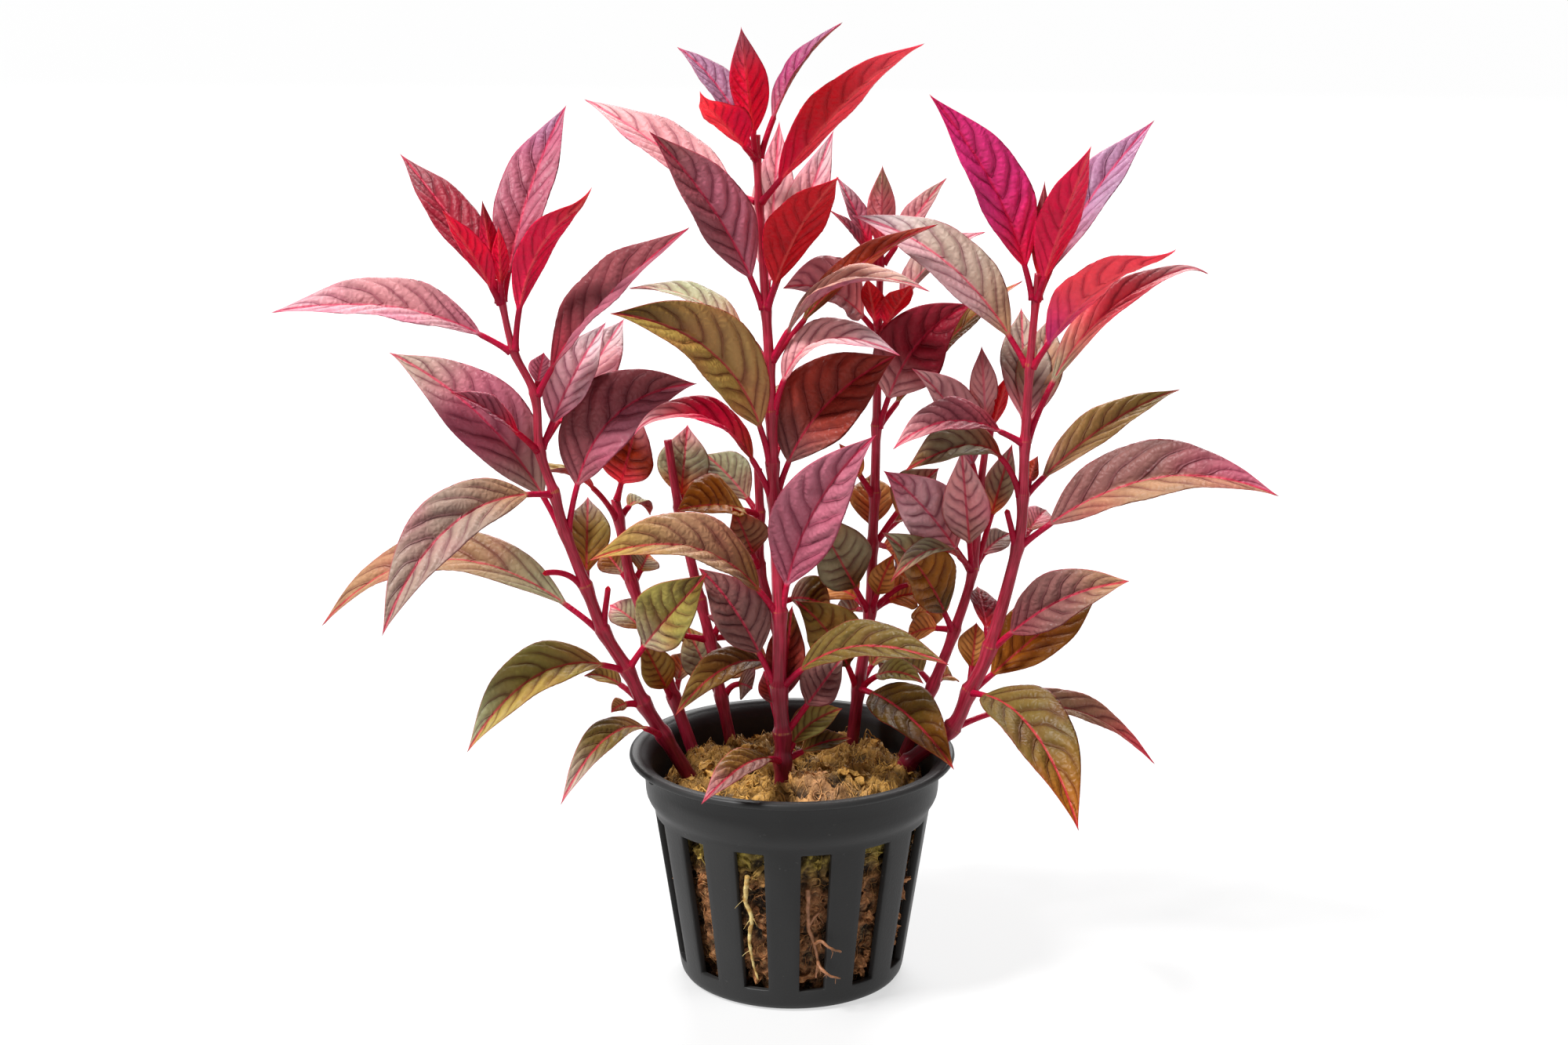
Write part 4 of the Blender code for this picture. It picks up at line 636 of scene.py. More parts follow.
def leaf_tones(leaf, s, ring_v, upper, across, shape):
    """Colour of each point of a leaf: by its side and its share of the length, with one half repainted as
    painted sheen or painted shade.
    """
    share = np.broadcast_to(s, shape)
    top, under = ramp(leaf.top, share), ramp(leaf.under, share)
    # Painted sheen and shade: one half of the leaf is blended towards the half's lighter or darker tone
    if leaf.half:
        tone, side = leaf.half.split()
        painted_half_mask = smooth_step(-0.12, 0.12, ring_v * np.sign(across @ np.array(PAINTED_HALF_SIDES[side])))
        weight = painted_half_mask[None, :, None] * smooth_step(0.0, 0.3, share)[..., None] * 0.85
        top = top * (1 - weight) + linear(tone) * weight
        under = under * (1 - weight) + linear(tone) * weight
    below = np.broadcast_to(upper[None, :] < 0, shape)[..., None]
    return np.where(below, under, top)


class Nodes:
    """Short calls to lay out a material's node tree."""

    def __init__(self, name):
        self.material = bpy.data.materials.new(name)
        self.material.use_nodes = True
        self.tree = self.material.node_tree
        self.tree.nodes.clear()
        self.output = self.add("ShaderNodeOutputMaterial")

    def add(self, kind, inputs=None, **settings):
        """A node with its settings, and its inputs set or linked by name or number."""
        node = self.tree.nodes.new(kind)
        for key, value in settings.items():
            setattr(node, key, value)
        for key, value in (inputs or {}).items():
            if isinstance(value, bpy.types.NodeSocket):
                self.tree.links.new(value, node.inputs[key])
            else:
                node.inputs[key].default_value = value
        return node

    def math(self, operation, *values):
        """A Math node's result."""
        return self.add("ShaderNodeMath", dict(enumerate(values)), operation=operation).outputs[0]

    def times(self, first, second):
        """Two values multiplied."""
        return self.math("MULTIPLY", first, second)

    def plus(self, first, second):
        """Two values added."""
        return self.math("ADD", first, second)

    def less(self, value):
        """What is left of one."""
        return self.math("SUBTRACT", 1.0, value)

    def split(self, attribute):
        """The three numbers of a vector attribute."""
        vector = self.attribute(attribute).outputs["Vector"]
        return self.add("ShaderNodeSeparateXYZ", {0: vector}).outputs

    def attribute(self, name):
        """A point attribute of the mesh."""
        return self.add("ShaderNodeAttribute", attribute_name=name)

    def step(self, value, low, high):
        """0 to 1 as value goes from low to high, smoothly."""
        node = self.add("ShaderNodeMapRange", {"Value": value, "From Min": low, "From Max": high},
                        interpolation_type="SMOOTHSTEP")
        return node.outputs[0]

    def noise(self, scale, detail=3.0, roughness=0.55, vector=None):
        """Noise by the object's own coordinates, in features per metre."""
        vector = vector or self.add("ShaderNodeTexCoord").outputs["Object"]
        node = self.add("ShaderNodeTexNoise", {"Vector": vector, "Scale": scale, "Detail": detail,
                                               "Roughness": roughness})
        return node.outputs["Fac"]

    def mix(self, share, first, second, blend="MIX"):
        """Two colours blended."""
        node = self.add("ShaderNodeMix", {"Factor": share, "A": first, "B": second}, data_type="RGBA",
                        blend_type=blend)
        return node.outputs["Result"]

    def bump(self, height, distance, strength=1.0, normal=None):
        """A bump of a height in 0 to 1, with its depth in metres."""
        inputs = {"Height": height, "Distance": distance, "Strength": strength}
        if normal:
            inputs["Normal"] = normal
        return self.add("ShaderNodeBump", inputs).outputs[0]

    def principled(self, **inputs):
        """A Principled shader with inputs by name, underscores for spaces."""
        return self.add("ShaderNodeBsdfPrincipled", {k.replace("_", " "): v for k, v in inputs.items()})

    def finish(self, shader):
        """Link the shader to the output and hand over the material."""
        self.tree.links.new(shader, self.output.inputs["Surface"])
        return self.material


def colour(tone):
    """A named colour as a node socket's value."""
    return (*linear(tone), 1.0)


def leaf_material(name, glow_share=0.16):
    """Waxy leaf: toned by the mesh, with midrib, side veins, fine network and pink margin, painted sheen on
    the crests of its quilting and painted shade in its creases.
    """
    n = Nodes(name)
    tone = n.attribute("tone").outputs["Color"]
    place = n.add("ShaderNodeSeparateXYZ", {0: n.attribute("place").outputs["Vector"]})
    lines = n.add("ShaderNodeSeparateXYZ", {0: n.attribute("lines").outputs["Vector"]})
    share, under = place.outputs[0], place.outputs[2]
    phase, from_rib, from_edge = lines.outputs

    vein = n.math("ABSOLUTE", n.math("SUBTRACT", n.math("FRACT", phase), 0.5))
    inner = n.step(vein, 0.43, 0.495)
    reach = n.less(n.step(n.math("ABSOLUTE", place.outputs[1]), 0.55, 0.98))
    side_vein = n.times(inner, reach)
    rib = n.less(n.step(from_rib, 0.1, 0.3))
    blade_start = n.step(share, 0.02, 0.08)
    side_vein = n.times(side_vein, blade_start)
    margin = n.less(n.step(from_edge, 0.05, 0.22))

    cells = n.add("ShaderNodeTexVoronoi", {"Vector": n.add("ShaderNodeTexCoord").outputs["Object"],
                                           "Scale": 900.0, "Randomness": 1.0}, feature="DISTANCE_TO_EDGE")
    net = n.less(n.step(cells.outputs["Distance"], 0.0, 0.4))
    cloud = n.noise(70.0, 2.0, 0.5)
    blotch = n.noise(260.0, 3.0, 0.6)
    fine = n.noise(1700.0, 2.0, 0.6)

    upper = n.less(under)
    # Painted sheen: the crests of the quilting, on the upper side only, are drawn lighter
    crest = n.less(n.times(vein, 2.0))
    crest = n.times(n.times(crest, reach), upper)
    lighter = n.mix(1.0, tone, (1.45, 1.35, 1.4, 1.0), "MULTIPLY")
    darker = n.mix(1.0, tone, (0.42, 0.22, 0.3, 1.0), "MULTIPLY")
    redder = n.mix(1.0, tone, (1.15, 0.45, 0.75, 1.0), "MULTIPLY")
    skin = n.mix(n.times(n.step(cloud, 0.48, 0.7), 0.65), tone, redder)
    # Painted sheen on the quilted crests
    skin = n.mix(n.times(crest, 0.65), skin, lighter)
    # Painted shade: a wide darker band on each side of the side veins, in the creases of the quilting
    beside = n.times(n.times(n.step(vein, 0.24, 0.5), reach), blade_start)
    skin = n.mix(n.times(beside, 0.65), skin, n.mix(1.0, tone, (0.56, 0.3, 0.4, 1.0), "MULTIPLY"))
    skin = n.mix(n.times(n.step(blotch, 0.45, 0.8), 0.45), skin, lighter)
    skin = n.mix(n.times(n.step(blotch, 0.5, 0.2), 0.4), skin, darker)
    skin = n.mix(n.times(net, 0.12), skin, darker)
    skin = n.mix(n.times(n.step(fine, 0.55, 0.8), 0.12), skin, lighter)
    # Side veins drawn redder, which is the veins' own colour, and darker on the upper side as painted shade
    # in their creases
    crease = n.mix(under, n.mix(0.45, darker, redder), redder)
    skin = n.mix(n.times(side_vein, 0.32), skin, crease)
    rib_tone = n.mix(under, n.mix(0.6, redder, colour("crimson")), n.mix(0.16, redder, colour("sand")))
    skin = n.mix(n.times(rib, 0.8), skin, rib_tone)
    skin = n.mix(n.times(margin, 0.5), skin, n.mix(0.5, redder, colour("crimson")))

    relief = n.plus(n.times(fine, 0.35), n.times(net, -0.6))
    relief = n.plus(relief, n.times(blotch, 1.0))
    vein_sign = n.math("SUBTRACT", n.times(under, 2.0), 1.0)
    relief = n.plus(relief, n.times(side_vein, vein_sign))
    bumped = n.bump(relief, 0.00016, 0.8)
    gloss = n.plus(0.34, n.times(blotch, 0.22))
    waxy = n.principled(Base_Color=skin, Roughness=gloss, Normal=bumped, IOR=1.45, Specular_IOR_Level=0.24)
    glow = n.add("ShaderNodeBsdfTranslucent", {"Color": n.mix(1.0, skin, (1.3, 0.5, 0.6, 1.0), "MULTIPLY")})
    blend = n.add("ShaderNodeMixShader", {"Fac": glow_share, 1: waxy.outputs[0], 2: glow.outputs[0]})
    return n.finish(blend.outputs[0])


def stem_material():
    """Glossy crimson stem, streaked along its length, with golden rings at its nodes."""
    n = Nodes("stem_skin")
    place = n.add("ShaderNodeSeparateXYZ", {0: n.attribute("place").outputs["Vector"]})
    ring, height, turn = place.outputs
    streaks = n.add("ShaderNodeCombineXYZ", {0: n.times(turn, 7.0), 1: n.times(height, 12.0)})
    streak = n.noise(1.6, 3.0, 0.6, streaks.outputs[0])
    blotch = n.noise(260.0, 2.0, 0.5)
    skin = n.mix(n.step(streak, 0.35, 0.7), (0.26, 0.01, 0.024, 1.0), (0.5, 0.026, 0.066, 1.0))
    skin = n.mix(n.times(n.step(blotch, 0.5, 0.75), 0.35), skin, (0.62, 0.035, 0.09, 1.0))
    low = n.less(n.step(height, 0.02, 0.35))
    skin = n.mix(n.times(low, 0.8), skin, (0.07, 0.001, 0.008, 1.0))
    uneven = n.times(n.math("SUBTRACT", blotch, 0.5), 1.6)
    band = n.times(n.step(n.plus(ring, uneven), 0.75, 1.05), n.step(streak, 0.4, 0.62))
    skin = n.mix(n.times(band, 0.85), skin, (0.42, 0.15, 0.04, 1.0))
    bumped = n.bump(n.plus(streak, n.times(blotch, 0.4)), 0.0001, 0.4)
    shader = n.principled(Base_Color=skin, Roughness=0.3, Normal=bumped, IOR=1.4, Specular_IOR_Level=0.35)
    shader.inputs["Subsurface Weight"].default_value = 0.15
    shader.inputs["Subsurface Radius"].default_value = (0.0012, 0.0003, 0.0003)
    return n.finish(shader.outputs[0])


def spline(route, spacing):
    """Points a set distance apart on a smooth curve through the route."""
    p = np.array(route, float)
    ends = np.vstack([2 * p[0] - p[1], p, 2 * p[-1] - p[-2]])
    points = []
    for i in range(len(p) - 1):
        a, b, c, d = ends[i:i + 4]
        count = max(int(np.linalg.norm(c - b) / spacing), 2)
        t = np.linspace(0, 1, count, endpoint=False)[:, None]
        points.append(0.5 * (2 * b + (c - a) * t + (2 * a - 5 * b + 4 * c - d) * t * t
                             + (3 * b - a - 3 * c + d) * t ** 3))
    return np.vstack(points + [p[-1:]])


def tube(path, radii, sides, ridges=None):
    """Points and faces of a closed tube; ridges scales each ring around its turn."""
    ahead = unit(np.gradient(path, axis=0))
    points = []
    side_axis = np.cross(ahead[0], (0, 1, 0.2))
    turns = np.linspace(0, 2 * np.pi, sides, endpoint=False)
    for place, way, radius in zip(path, ahead, radii):
        side_axis = unit(side_axis - way * (side_axis @ way))
        other_axis = np.cross(way, side_axis)
        ring = radius * (1 if ridges is None else ridges)
        points.append(place + np.outer(np.cos(turns) * ring, side_axis)
                      + np.outer(np.sin(turns) * ring, other_axis))
    points = np.vstack(points + [path[:1], path[-1:]])
    faces = ring_faces(len(path), sides)
    top = (len(path) - 1) * sides
    for side in range(sides):
        beside = (side + 1) % sides
        faces.append((beside, side, len(points) - 2))
        faces.append((top + side, top + beside, len(points) - 1))
    return points, faces


def build_stem(stem, material, rng):
    """A stem with a fine ridge round each swollen node."""
    sides = 24
    path = spline(stem.route, 0.45)
    lengths = np.concatenate([[0], np.cumsum(np.linalg.norm(np.diff(path, axis=0), axis=1))])
    radii = np.array([stem_radius(stem, p[2]) for p in path]) * SKIN_SHARE
    ring = np.zeros(len(path))
    for node in stem.route[1:-1]:
        here = lengths[np.argmin(np.linalg.norm(path - np.array(node), axis=1))]
        gap = lengths - here
        radii *= 1 + (NODE_SWELL - 1) * np.exp(-(gap / np.where(gap < 0, 1.5, 1.0)) ** 2)
        radii *= 1 + 0.10 * np.exp(-((gap - 0.5) / 0.28) ** 2)
        ring = np.maximum(ring, np.exp(-((gap - 0.4) / 0.4) ** 2))
    turns = np.linspace(0, 2 * np.pi, sides, endpoint=False)
    ridges = 1 + 0.025 * np.cos(4 * turns + rng.uniform(0, 6)) + 0.012 * np.cos(9 * turns)
    points, faces = tube(path, radii, sides, ridges)
    piece = make_piece(stem.name + "_stem", points, faces)
    ring_all = np.concatenate([np.repeat(ring, sides), ring[:1], ring[-1:]])
    high = np.concatenate([np.repeat(lengths / lengths[-1], sides), [0, 1]])
    around = np.concatenate([np.tile(np.abs(turns / np.pi - 1), len(path)), [0, 0]])
    add_vectors(piece, "place", np.stack([ring_all, high, around], axis=1))
    return dress(piece, material, "stem_red", "stem_" + stem.name)


def around_pot(angle, radius, height):
    """Points by their angle from the front, in degrees towards +X."""
    turn = np.radians(angle)
    return np.stack(np.broadcast_arrays(radius * np.sin(turn), -radius * np.cos(turn), height), axis=-1)


def wall_radius(height):
    """Outer radius of the slotted wall at a height."""
    share = (height - SLOT_FOOT) / (SLOT_TOP - SLOT_FOOT)
    return WALL_FOOT_RADIUS + (WALL_TOP_RADIUS - WALL_FOOT_RADIUS) * share


def pot_material():
    """Charcoal moulded plastic: satin, finely grained and faintly scuffed."""
    n = Nodes("pot_plastic_skin")
    cloud = n.noise(60.0, 3.0, 0.6)
    grain = n.noise(2600.0, 2.0, 0.6)
    dust = n.step(n.noise(900.0, 3.0, 0.7), 0.66, 0.8)
    skin = n.mix(cloud, (0.018, 0.018, 0.0182, 1.0), (0.032, 0.0315, 0.031, 1.0))
    skin = n.mix(n.times(dust, 0.25), skin, (0.16, 0.155, 0.15, 1.0))
    gloss = n.plus(0.36, n.times(cloud, 0.16))
    bumped = n.bump(n.plus(grain, n.times(cloud, 2.0)), 0.00006, 0.5)
    return n.finish(n.principled(Base_Color=skin, Roughness=gloss, Normal=bumped, IOR=1.45,
                                 Specular_IOR_Level=0.22).outputs[0])


def build_pot():
    """The slotted cup, its slots cut through the wall and their edges eased."""
    step = 360 / SLOTS
    wide, bar = 4, 5
    offsets = np.concatenate([np.linspace(-SLOT_HALF_ANGLE, SLOT_HALF_ANGLE, wide + 1)[:-1],
                              np.linspace(SLOT_HALF_ANGLE, step - SLOT_HALF_ANGLE, bar + 1)[:-1]])
    angles = (FIRST_SLOT_ANGLE + step * np.arange(SLOTS)[:, None] + offsets).ravel()
    heights = np.linspace(SLOT_TOP, SLOT_FOOT, 9)
    wall = tuple((wall_radius(h), h) for h in heights)
    lining = tuple((wall_radius(h) - WALL, h) for h in heights[::-1])
    rows = POT_RIM + wall + POT_FOOT + POT_FLOOR + lining + POT_INSIDE
    count, period = len(angles), wide + bar
    points = np.vstack([around_pot(angles, radius, height) for radius, height in rows])
    points = np.vstack([points, [(0, 0, 0), (0, 0, 1.25)]])
    outer, inner = len(POT_RIM), len(POT_RIM + wall + POT_FOOT + POT_FLOOR)
    under = inner - len(POT_FLOOR) - 1
    steps = len(heights) - 1
    open_rows = set(range(outer, outer + steps)) | set(range(inner, inner + steps))
    faces = []
    for column in range(count):
        beside = (column + 1) % count
        for row in range(len(rows)):
            below = (row + 1) % len(rows)
            if row == under or row in open_rows and column % period < wide:
                continue
            faces.append([row * count + column, below * count + column, below * count + beside,
                          row * count + beside])
        faces.append([under * count + column, len(points) - 2, under * count + beside])
        faces.append([(under + 1) * count + column, (under + 1) * count + beside, len(points) - 1])
    for slot in range(SLOTS):
        left = slot * period
        right = left + wide
        for k in range(steps):
            out_high, out_low = (outer + k) * count, (outer + k + 1) * count
            in_high, in_low = (inner + steps - k) * count, (inner + steps - k - 1) * count
            faces.append([out_high + left, out_low + left, in_low + left, in_high + left])
            faces.append([out_high + right, in_high + right, in_low + right, out_low + right])
        out_high, out_low = outer * count, (outer + steps) * count
        in_high, in_low = (inner + steps) * count, inner * count
        for column in range(left, right):
            faces.append([out_high + column, in_high + column, in_high + column + 1, out_high + column + 1])
            faces.append([out_low + column, out_low + column + 1, in_low + column + 1, in_low + column])
    piece = make_piece("net_pot", points, faces)
    shape = bmesh.new()
    shape.from_mesh(piece.data)
    sharp = [e for e in shape.edges if len(e.link_faces) == 2 and e.calc_face_angle(0) > 1.1]
    bmesh.ops.bevel(shape, geom=sharp, offset=0.2 * MM, segments=2, profile=0.5, affect="EDGES")
    nub = bmesh.ops.create_icosphere(shape, subdivisions=2, radius=0.55 * MM)["verts"]
    place = Vector(around_pot(-66, 24.1, 35.6)) * MM
    for vertex in nub:
        vertex.co = place + Vector((vertex.co.x, vertex.co.y, vertex.co.z * 1.5))
    shape.to_mesh(piece.data)
    shape.free()
    piece.data.shade_smooth()
    return dress(piece, pot_material(), "pot_plastic", "pot")


def folds(point, size):
    """Height of folded fibre at a point, 0 in its hollows to 1 on its crests."""
    scaled = Vector(point) / size
    bent = scaled + 0.6 * noise.noise_vector(scaled * 0.7)
    first = 1 - abs(noise.noise(bent)) * 1.6
    second = 1 - abs(noise.noise(bent * 2.3 + Vector((7, 1, 3)))) * 1.6
    third = 1 - abs(noise.noise(bent * 5.1 + Vector((1, 9, 4)))) * 1.6
    return min(max(0.5 * first ** 2 + 0.3 * second + 0.2 * third, 0.0), 1.0)


def medium_top(angle, radius):
    """Height of the fibre's top: heaped at the front and right, sunken beside the left wall."""
    turn = math.radians(angle)
    front = 0.5 + 0.5 * math.cos(turn)
    clump = math.exp(-((angle - 22) / 24) ** 2 - ((radius - 13) / 5) ** 2)
    sunken = math.exp(-((angle + 75) / 40) ** 2 - ((radius - 19) / 5) ** 2)
    ripple = 0.5 * math.sin(3 * turn + radius) + 0.35 * math.sin(7 * turn - 0.8 * radius)
    edge = 3.0 * smooth_step(18.0, 21.5, radius)
    return MEDIUM_LEVEL + 1.4 * front * radius / 20 + 2.6 * clump - 2.2 * sunken + ripple - edge


def top_point(angle, radius):
    """A point of the folded top, and how high it stands in its folds."""
    flat = around_pot(angle, radius, medium_top(angle, radius))
    crest = folds(flat, 4.2)
    return flat + np.array((0, 0, 3.6 * (crest - 0.6))), crest


def side_point(angle, height):
    """A point of the folded side, and how far it stands out in its folds."""
    inside = wall_radius(height) - WALL - 0.25
    crest = folds(around_pot(angle, inside, height), 3.4)
    wave = 0.5 + 0.5 * math.sin(math.radians(angle) * SLOTS + 1.7)
    hollow = 1.5 * math.exp(-((height - 3.5) / 1.6) ** 2) * wave
    return around_pot(angle, inside - 1.9 * (1 - crest) - 1.2 * hollow, height), crest


def fibre_tone(height, crest, angle, rng):
    """Colour of the fibre: golden on top, greenish at the slots' heads, brown lower down, with painted shade
    in the hollows of its folds and a painted highlight on their crests.
    """
    green = smooth_step(20, 27, height) * (1 - smooth_step(29, 32, height))
    golden = smooth_step(29, 33, height)
    body = 1.4 * (linear("bark") * (1 - green) + linear("moss") * green)
    body = body * (1 - golden) + linear("straw") * golden
    body = body * (0.75 + 0.5 * rng.random())
    pink = 0.5 * math.exp(-((angle - 16) / 16) ** 2) * golden
    body = body * (1 - pink) + linear("pink_bark") * pink
    # Painted shade and highlight: dark in the hollows of the folds, brighter on the crests, over the painted
    # hollow shade
    shade = float(smooth_step(0.3, 0.75, crest)) * (0.75 + 0.45 * crest * crest)
    return linear("hollow_shade") * 0.25 + body * shade * 1.2


def fibre_material():
    """Damp plant fibre: toned by the mesh, matted with fine threads."""
    n = Nodes("fibre_skin")
    tone = n.attribute("tone").outputs["Color"]
    threads = n.noise(1500.0, 4.0, 0.7)
    blotch = n.noise(350.0, 3.0, 0.6)
    skin = n.mix(n.times(n.step(threads, 0.5, 0.75), 0.5), tone, (0.62, 0.42, 0.20, 1.0))
    skin = n.mix(n.times(n.step(threads, 0.5, 0.25), 0.7), skin, (0.03, 0.012, 0.004, 1.0))
    skin = n.mix(n.times(n.step(blotch, 0.52, 0.3), 0.5), skin, (0.05, 0.022, 0.008, 1.0))
    bumped = n.bump(n.plus(threads, blotch), 0.0005, 0.8)
    return n.finish(n.principled(Base_Color=skin, Roughness=0.6, Normal=bumped, IOR=1.35).outputs[0])


def outward(place):
    """The level way from the pot's middle to a place."""
    return np.array((place[0], place[1], 0)) / math.hypot(place[0], place[1])


def fibre_piece(name, points, faces, tones, material):
    """A toned piece of the growing medium."""
    piece = make_piece(name, points, faces)
    add_colours(piece, "tone", tones)
    return dress(piece, material, "fibre", "growing_medium")


def build_core(rng, fibre):
    """The plug with its folds, from its foot up the side and in over the top."""
    heights = np.linspace(2.0, 31.5, 74)
    radii = np.concatenate([np.linspace(21.2, 2, 46), [0.4]])
    rings = len(heights) + len(radii)
    points, tones = [], []
    for row in range(rings):
        for side in range(CORE_SIDES):
            angle = side * 360 / CORE_SIDES
            angle -= 360 if angle > 180 else 0
            if row < len(heights):
                place, crest = side_point(angle, heights[row])
            else:
                place, crest = top_point(angle, radii[row - len(heights)])
            points.append(place)
            tones.append(fibre_tone(place[2], crest, angle, rng))
    faces = ring_faces(rings, CORE_SIDES)
    faces += [tuple(reversed(range(CORE_SIDES))), tuple(range(len(points) - CORE_SIDES, len(points)))]
    fibre_piece("fibre_core", points, faces, tones, fibre)


def thread_path(rng, on_top):
    """A loose thread's bent route over the folds, of the top or of the side behind a slot."""
    steps = rng.randint(8, 12)
    length = rng.uniform(1.5, 6.0) if on_top else rng.uniform(1.0, 4.5)
    heading, bend = rng.uniform(0, 2 * math.pi), rng.uniform(-0.6, 0.6)
    if on_top:
        far, angle = TOP_REACH * math.sqrt(rng.random()), rng.uniform(-180, 180)
        x, y = far * math.sin(math.radians(angle)), -far * math.cos(math.radians(angle))
        loft = rng.uniform(0.0, 0.8) ** 2 * 1.6
    else:
        # Behind a slot, x is the angle in degrees and y the height
        slot = FIRST_SLOT_ANGLE + rng.randrange(SLOTS) * 360 / SLOTS
        x, y = slot + rng.uniform(-8, 8), rng.uniform(SLOT_FOOT + 0.5, SLOT_TOP)
        loft = rng.uniform(0.0, 0.5)
    path = []
    for k in range(steps + 1):
        arch = math.sin(math.pi * k / steps) * loft + 0.04
        if on_top:
            place, _ = top_point(math.degrees(math.atan2(x, -y)), min(math.hypot(x, y), TOP_REACH))
            path.append(place + np.array((0, 0, arch)))
        else:
            place, _ = side_point((x + 180) % 360 - 180, min(max(y, 3.0), 31.0))
            path.append(place + outward(place) * arch)
        x += math.cos(heading) * length / steps * (1 if on_top else 3.0)
        y += math.sin(heading) * length / steps
        heading += bend + rng.uniform(-0.3, 0.3)
    return np.array(path)


def build_threads(rng, fibre):
    """Loose threads, fine tubes that thin out at both ends."""
    points, faces, tones = [], [], []
    for thread in range(THREADS):
        path = thread_path(rng, thread < TOP_THREADS)
        thick = rng.choice((0.04, 0.05, 0.07, 0.11)) * rng.uniform(0.8, 1.2)
        ring_points, ring = tube(path, thick * np.sin(np.linspace(0.25, 2.9, len(path))), 4)
        faces += [tuple(len(points) + corner for corner in face) for face in ring]
        points += list(ring_points)
        body = fibre_tone(path[0][2], 1.0, math.degrees(math.atan2(path[0][0], -path[0][1])), rng)
        body = body * rng.uniform(0.5, 1.1) + linear("straw") * rng.choice((0, 0, 0.1, 0.3))
        tones += [body] * len(ring_points)
    fibre_piece("fibre_threads", points, faces, tones, fibre)


def flake_place(rng, on_top):
    """A flake's angle, its middle and the way that it faces."""
    if on_top:
        angle, far = rng.uniform(-180, 180), 20.5 * math.sqrt(rng.random())
        return angle, top_point(angle, far)[0], np.array((0.0, 0.0, 1.0))
    angle = FIRST_SLOT_ANGLE + rng.randrange(SLOTS) * 360 / SLOTS + rng.uniform(-7, 7)
    angle = (angle + 180) % 360 - 180
    centre, _ = side_point(angle, rng.uniform(SLOT_FOOT + 1, SLOT_TOP - 1))
    return angle, centre, outward(centre)


def build_flakes(rng, fibre):
    """Crumpled flakes, each a ragged oval grid with an upper and an under side."""
    points, faces, tones = [], [], []
    middle = (FLAKE_ROWS - 1) // 2
    for flake in range(FLAKES):
        angle, centre, facing = flake_place(rng, flake < TOP_FLAKES)
        lean = unit(facing + np.array([rng.uniform(-0.6, 0.6) for _ in range(3)]))
        along = unit(np.cross(lean, [rng.uniform(-1, 1) for _ in range(3)]))
        across = np.cross(lean, along)
        long, wide = rng.uniform(0.6, 1.9), rng.uniform(0.3, 0.9)
        seed = rng.uniform(0, 90)
        start = len(points)
        for under, i, j in product((0, 1), range(FLAKE_ROWS), range(FLAKE_ROWS)):
            u, w = (i - middle) / middle, (j - middle) / middle
            crumple = noise.noise(Vector((u * 1.3 + seed, w * 1.3, seed)))
            ragged = 1 + 0.5 * noise.noise(Vector((seed, u * 2, w * 2)))
            narrow = math.sqrt(max(1.05 - u * u, 0.0))
            thin = 0.1 * (1 - max(abs(u), abs(w)) ** 4)
            points.append(centre + along * (u * long * ragged) + across * (w * wide * narrow * ragged)
                          + lean * (crumple * 1.1 + 0.3 - under * thin))
            # Painted shade and highlight: each flake darker where it dips and lighter where it rises
            tones.append(fibre_tone(centre[2], 0.85, angle, rng) * (0.8 + 0.7 * (crumple + 0.4)))
        for i, j in product(range(FLAKE_ROWS - 1), repeat=2):
            corner = start + i * FLAKE_ROWS + j
            top = (corner, corner + FLAKE_ROWS, corner + FLAKE_ROWS + 1, corner + 1)
            faces += [top, tuple(c + FLAKE_ROWS ** 2 for c in reversed(top))]
    fibre_piece("fibre_flakes", points, faces, tones, fibre)


def build_medium():
    """The matted plug, with its folds, loose threads and flakes."""
    rng, fibre = random.Random(5), fibre_material()
    build_core(rng, fibre)
    build_threads(rng, fibre)
    build_flakes(rng, fibre)


def root_material(name, tone, shade):
    """Bare root skin, streaked along its length."""
    n = Nodes(name)
    streak = n.noise(900.0, 3.0, 0.6)
    skin = n.mix(n.step(streak, 0.3, 0.7), colour(shade), colour(tone))
    bumped = n.bump(streak, 0.0002, 0.7)
    return n.finish(n.principled(Base_Color=skin, Roughness=0.45, Normal=bumped, IOR=1.42).outputs[0])


def build_roots(name, routes, tone, shade, slot, node):
    """Roots that wander a little and thin out, with fine side hairs."""
    rng = random.Random(len(routes) + 3)
    points, faces = [], []

    def add_tube(path, radii, sides):
        ring_points, ring = tube(path, radii, sides)
        faces.extend(tuple(len(points) + corner for corner in face) for face in ring)
        points.extend(ring_points)

    for number, route in enumerate(routes):
        path = spline([around_pot(*place) for place in route], 0.25)
        for k in range(1, len(path) - 1):
            path[k] += 0.12 * np.array(noise.noise_vector(Vector(path[k]) * 0.9))
        share = np.linspace(0, 1, len(path))
        knobs = np.array([noise.noise(Vector(p) * 1.7) for p in path])
        full = ROOT_RADIUS * (1.0 if number == 0 else 0.75)
        add_tube(path, full * (1 - 0.62 * share ** 1.5) * (1 + 0.25 * knobs), 12)
        for hair in range(ROOT_HAIRS):
            start = path[rng.randrange(4, len(path) - 2)]
            outward = unit(np.array((start[0], start[1], 0.0)))
            way = outward * 0.25 + np.array([rng.uniform(-1, 1), 0.0, rng.uniform(-1.2, 0.4)])
            k = np.linspace(0, 1, 7)[:, None]
            sag = np.array((0, 0, -0.5)) * k * k
            add_tube(start + way * k * rng.uniform(0.6, 1.8) + sag, np.linspace(0.07, 0.025, 7), 5)
    piece = make_piece(name, points, faces)
    return dress(piece, root_material(name + "_skin", tone, shade), slot, node)


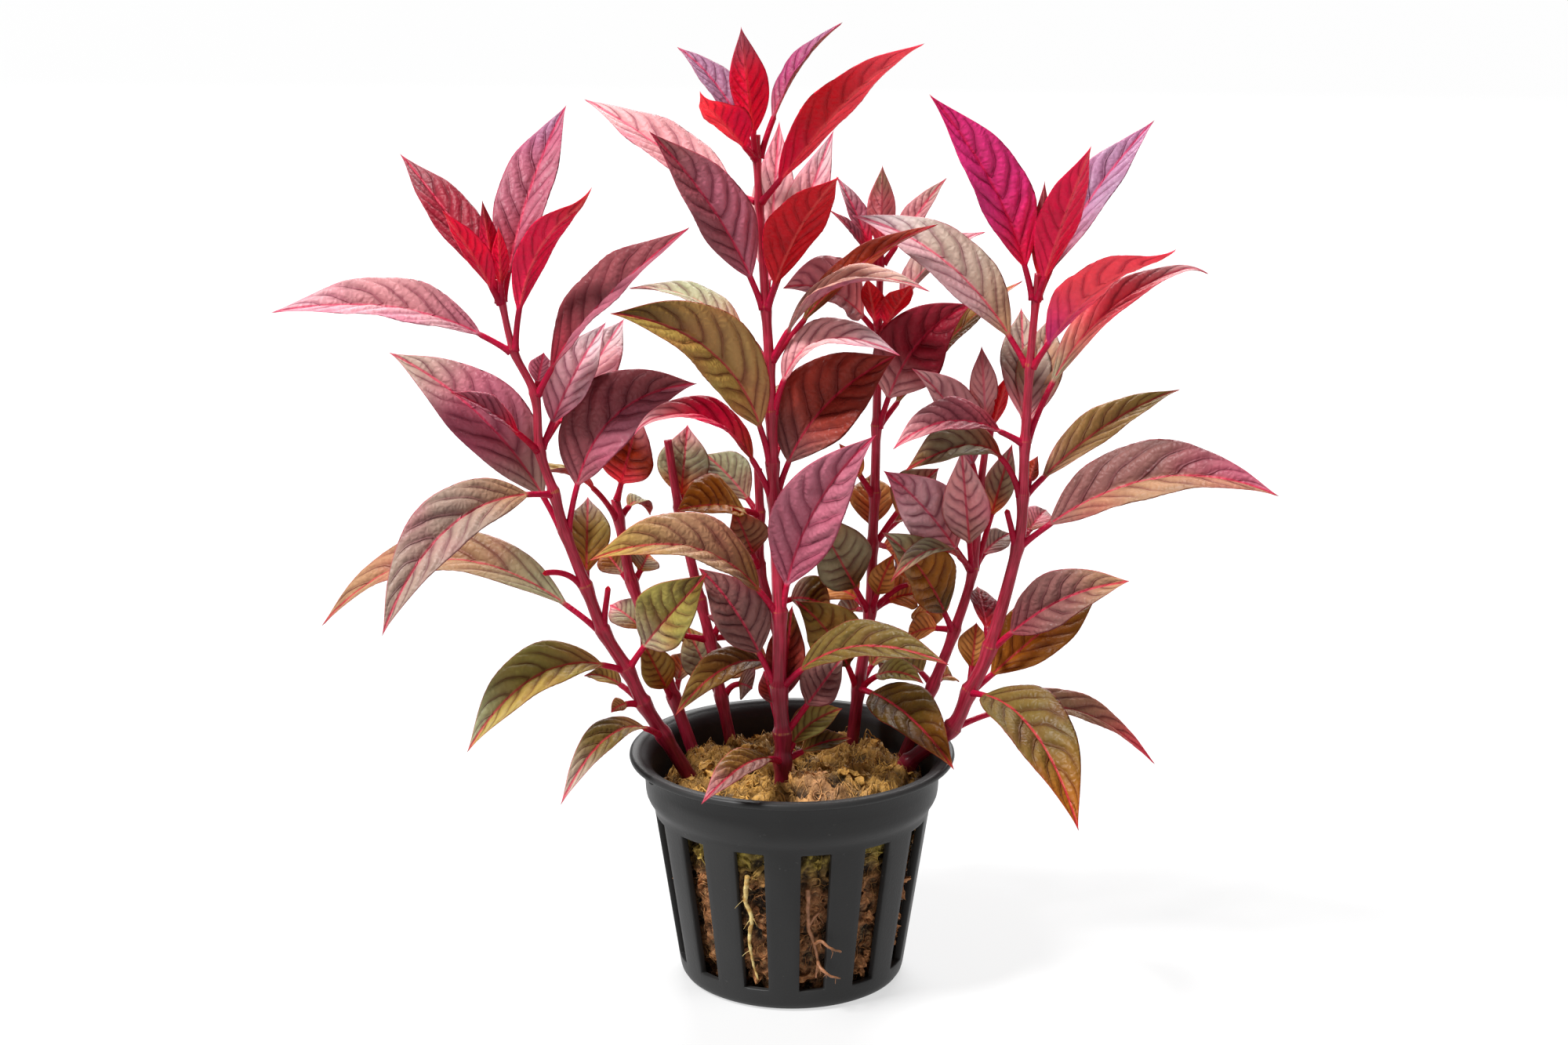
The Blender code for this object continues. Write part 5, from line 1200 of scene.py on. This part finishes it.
def build_plant():
    """Every stem and leaf."""
    rng = random.Random(11)
    skin = stem_material()
    small_skin = leaf_material("small_leaf_skin", 0.34)
    skins = {}
    for stem in STEMS:
        build_stem(stem, skin, rng)
        for leaf in LEAVES[stem.name]:
            if leaf.slot is None:
                piece = build_leaf(stem, leaf, stem.name + "_small_" + leaf.name, 44, 16, rng)
                dress(piece, small_skin, "stem_red", "stem_" + stem.name)
                continue
            slot = "leaf_" + leaf.slot
            if slot not in skins:
                skins[slot] = leaf_material(slot + "_skin")
            piece = build_leaf(stem, leaf, leaf.name + "_blade", 68, 26, rng)
            dress(piece, skins[slot], slot, "leaf_" + leaf.name)


def build_stage():
    """Pale floor, soft light from above and the camera at the photograph's place."""
    corners = np.array([(-1, -1, 0), (1, -1, 0), (1, 1, 0), (-1, 1, 0)]) * FLOOR_HALF
    floor = make_piece("floor", corners / MM, [(0, 1, 2, 3)], smooth=False)
    n = Nodes("floor_paint")
    paint = n.principled(Base_Color=(0.2, 0.2, 0.2, 1.0), Roughness=0.7, Emission_Strength=0.63)
    paint.inputs["Emission Color"].default_value = (1.0, 1.0, 1.0, 1.0)
    floor.data.materials.append(n.finish(paint.outputs[0]))

    world = bpy.data.worlds.new("studio")
    world.use_nodes = True
    background = world.node_tree.nodes["Background"]
    background.inputs["Color"].default_value = (1.0, 1.0, 1.0, 1.0)
    background.inputs["Strength"].default_value = 0.3
    bpy.context.scene.world = world
    for name, kind, place, aim, width, power in LAMPS:
        light = bpy.data.lights.new(name, kind)
        setattr(light, "angle" if kind == "SUN" else "size", width)
        light.energy = power
        lamp = bpy.data.objects.new(name, light)
        lamp.location = place
        lamp.rotation_euler = (Vector(aim) - Vector(place)).to_track_quat("-Z", "Y").to_euler()
        bpy.context.scene.collection.objects.link(lamp)

    lens = bpy.data.cameras.new("camera")
    lens.lens = CAMERA_LENS
    lens.sensor_width = 36.0
    lens.clip_start = 0.01
    lens.clip_end = 50.0
    camera = bpy.data.objects.new("camera", lens)
    camera.location = CAMERA_PLACE
    camera.rotation_euler = (math.radians(90 - CAMERA_TILT), 0, 0)
    bpy.context.scene.collection.objects.link(camera)
    bpy.context.scene.camera = camera
    bpy.context.scene.view_settings.view_transform = "Standard"


# Without a seed of its own, noise_vector follows the clock and differs from run to run
noise.seed_set(NOISE_SEED)
build_stage()
build_pot()
build_medium()
build_roots("pale_root", PALE_ROOTS, "pale_root", "straw", "root_pale_skin", "root_pale")
build_roots("brown_root", BROWN_ROOTS, "brown_root", "bark", "root_brown_skin", "root_brown")
build_plant()
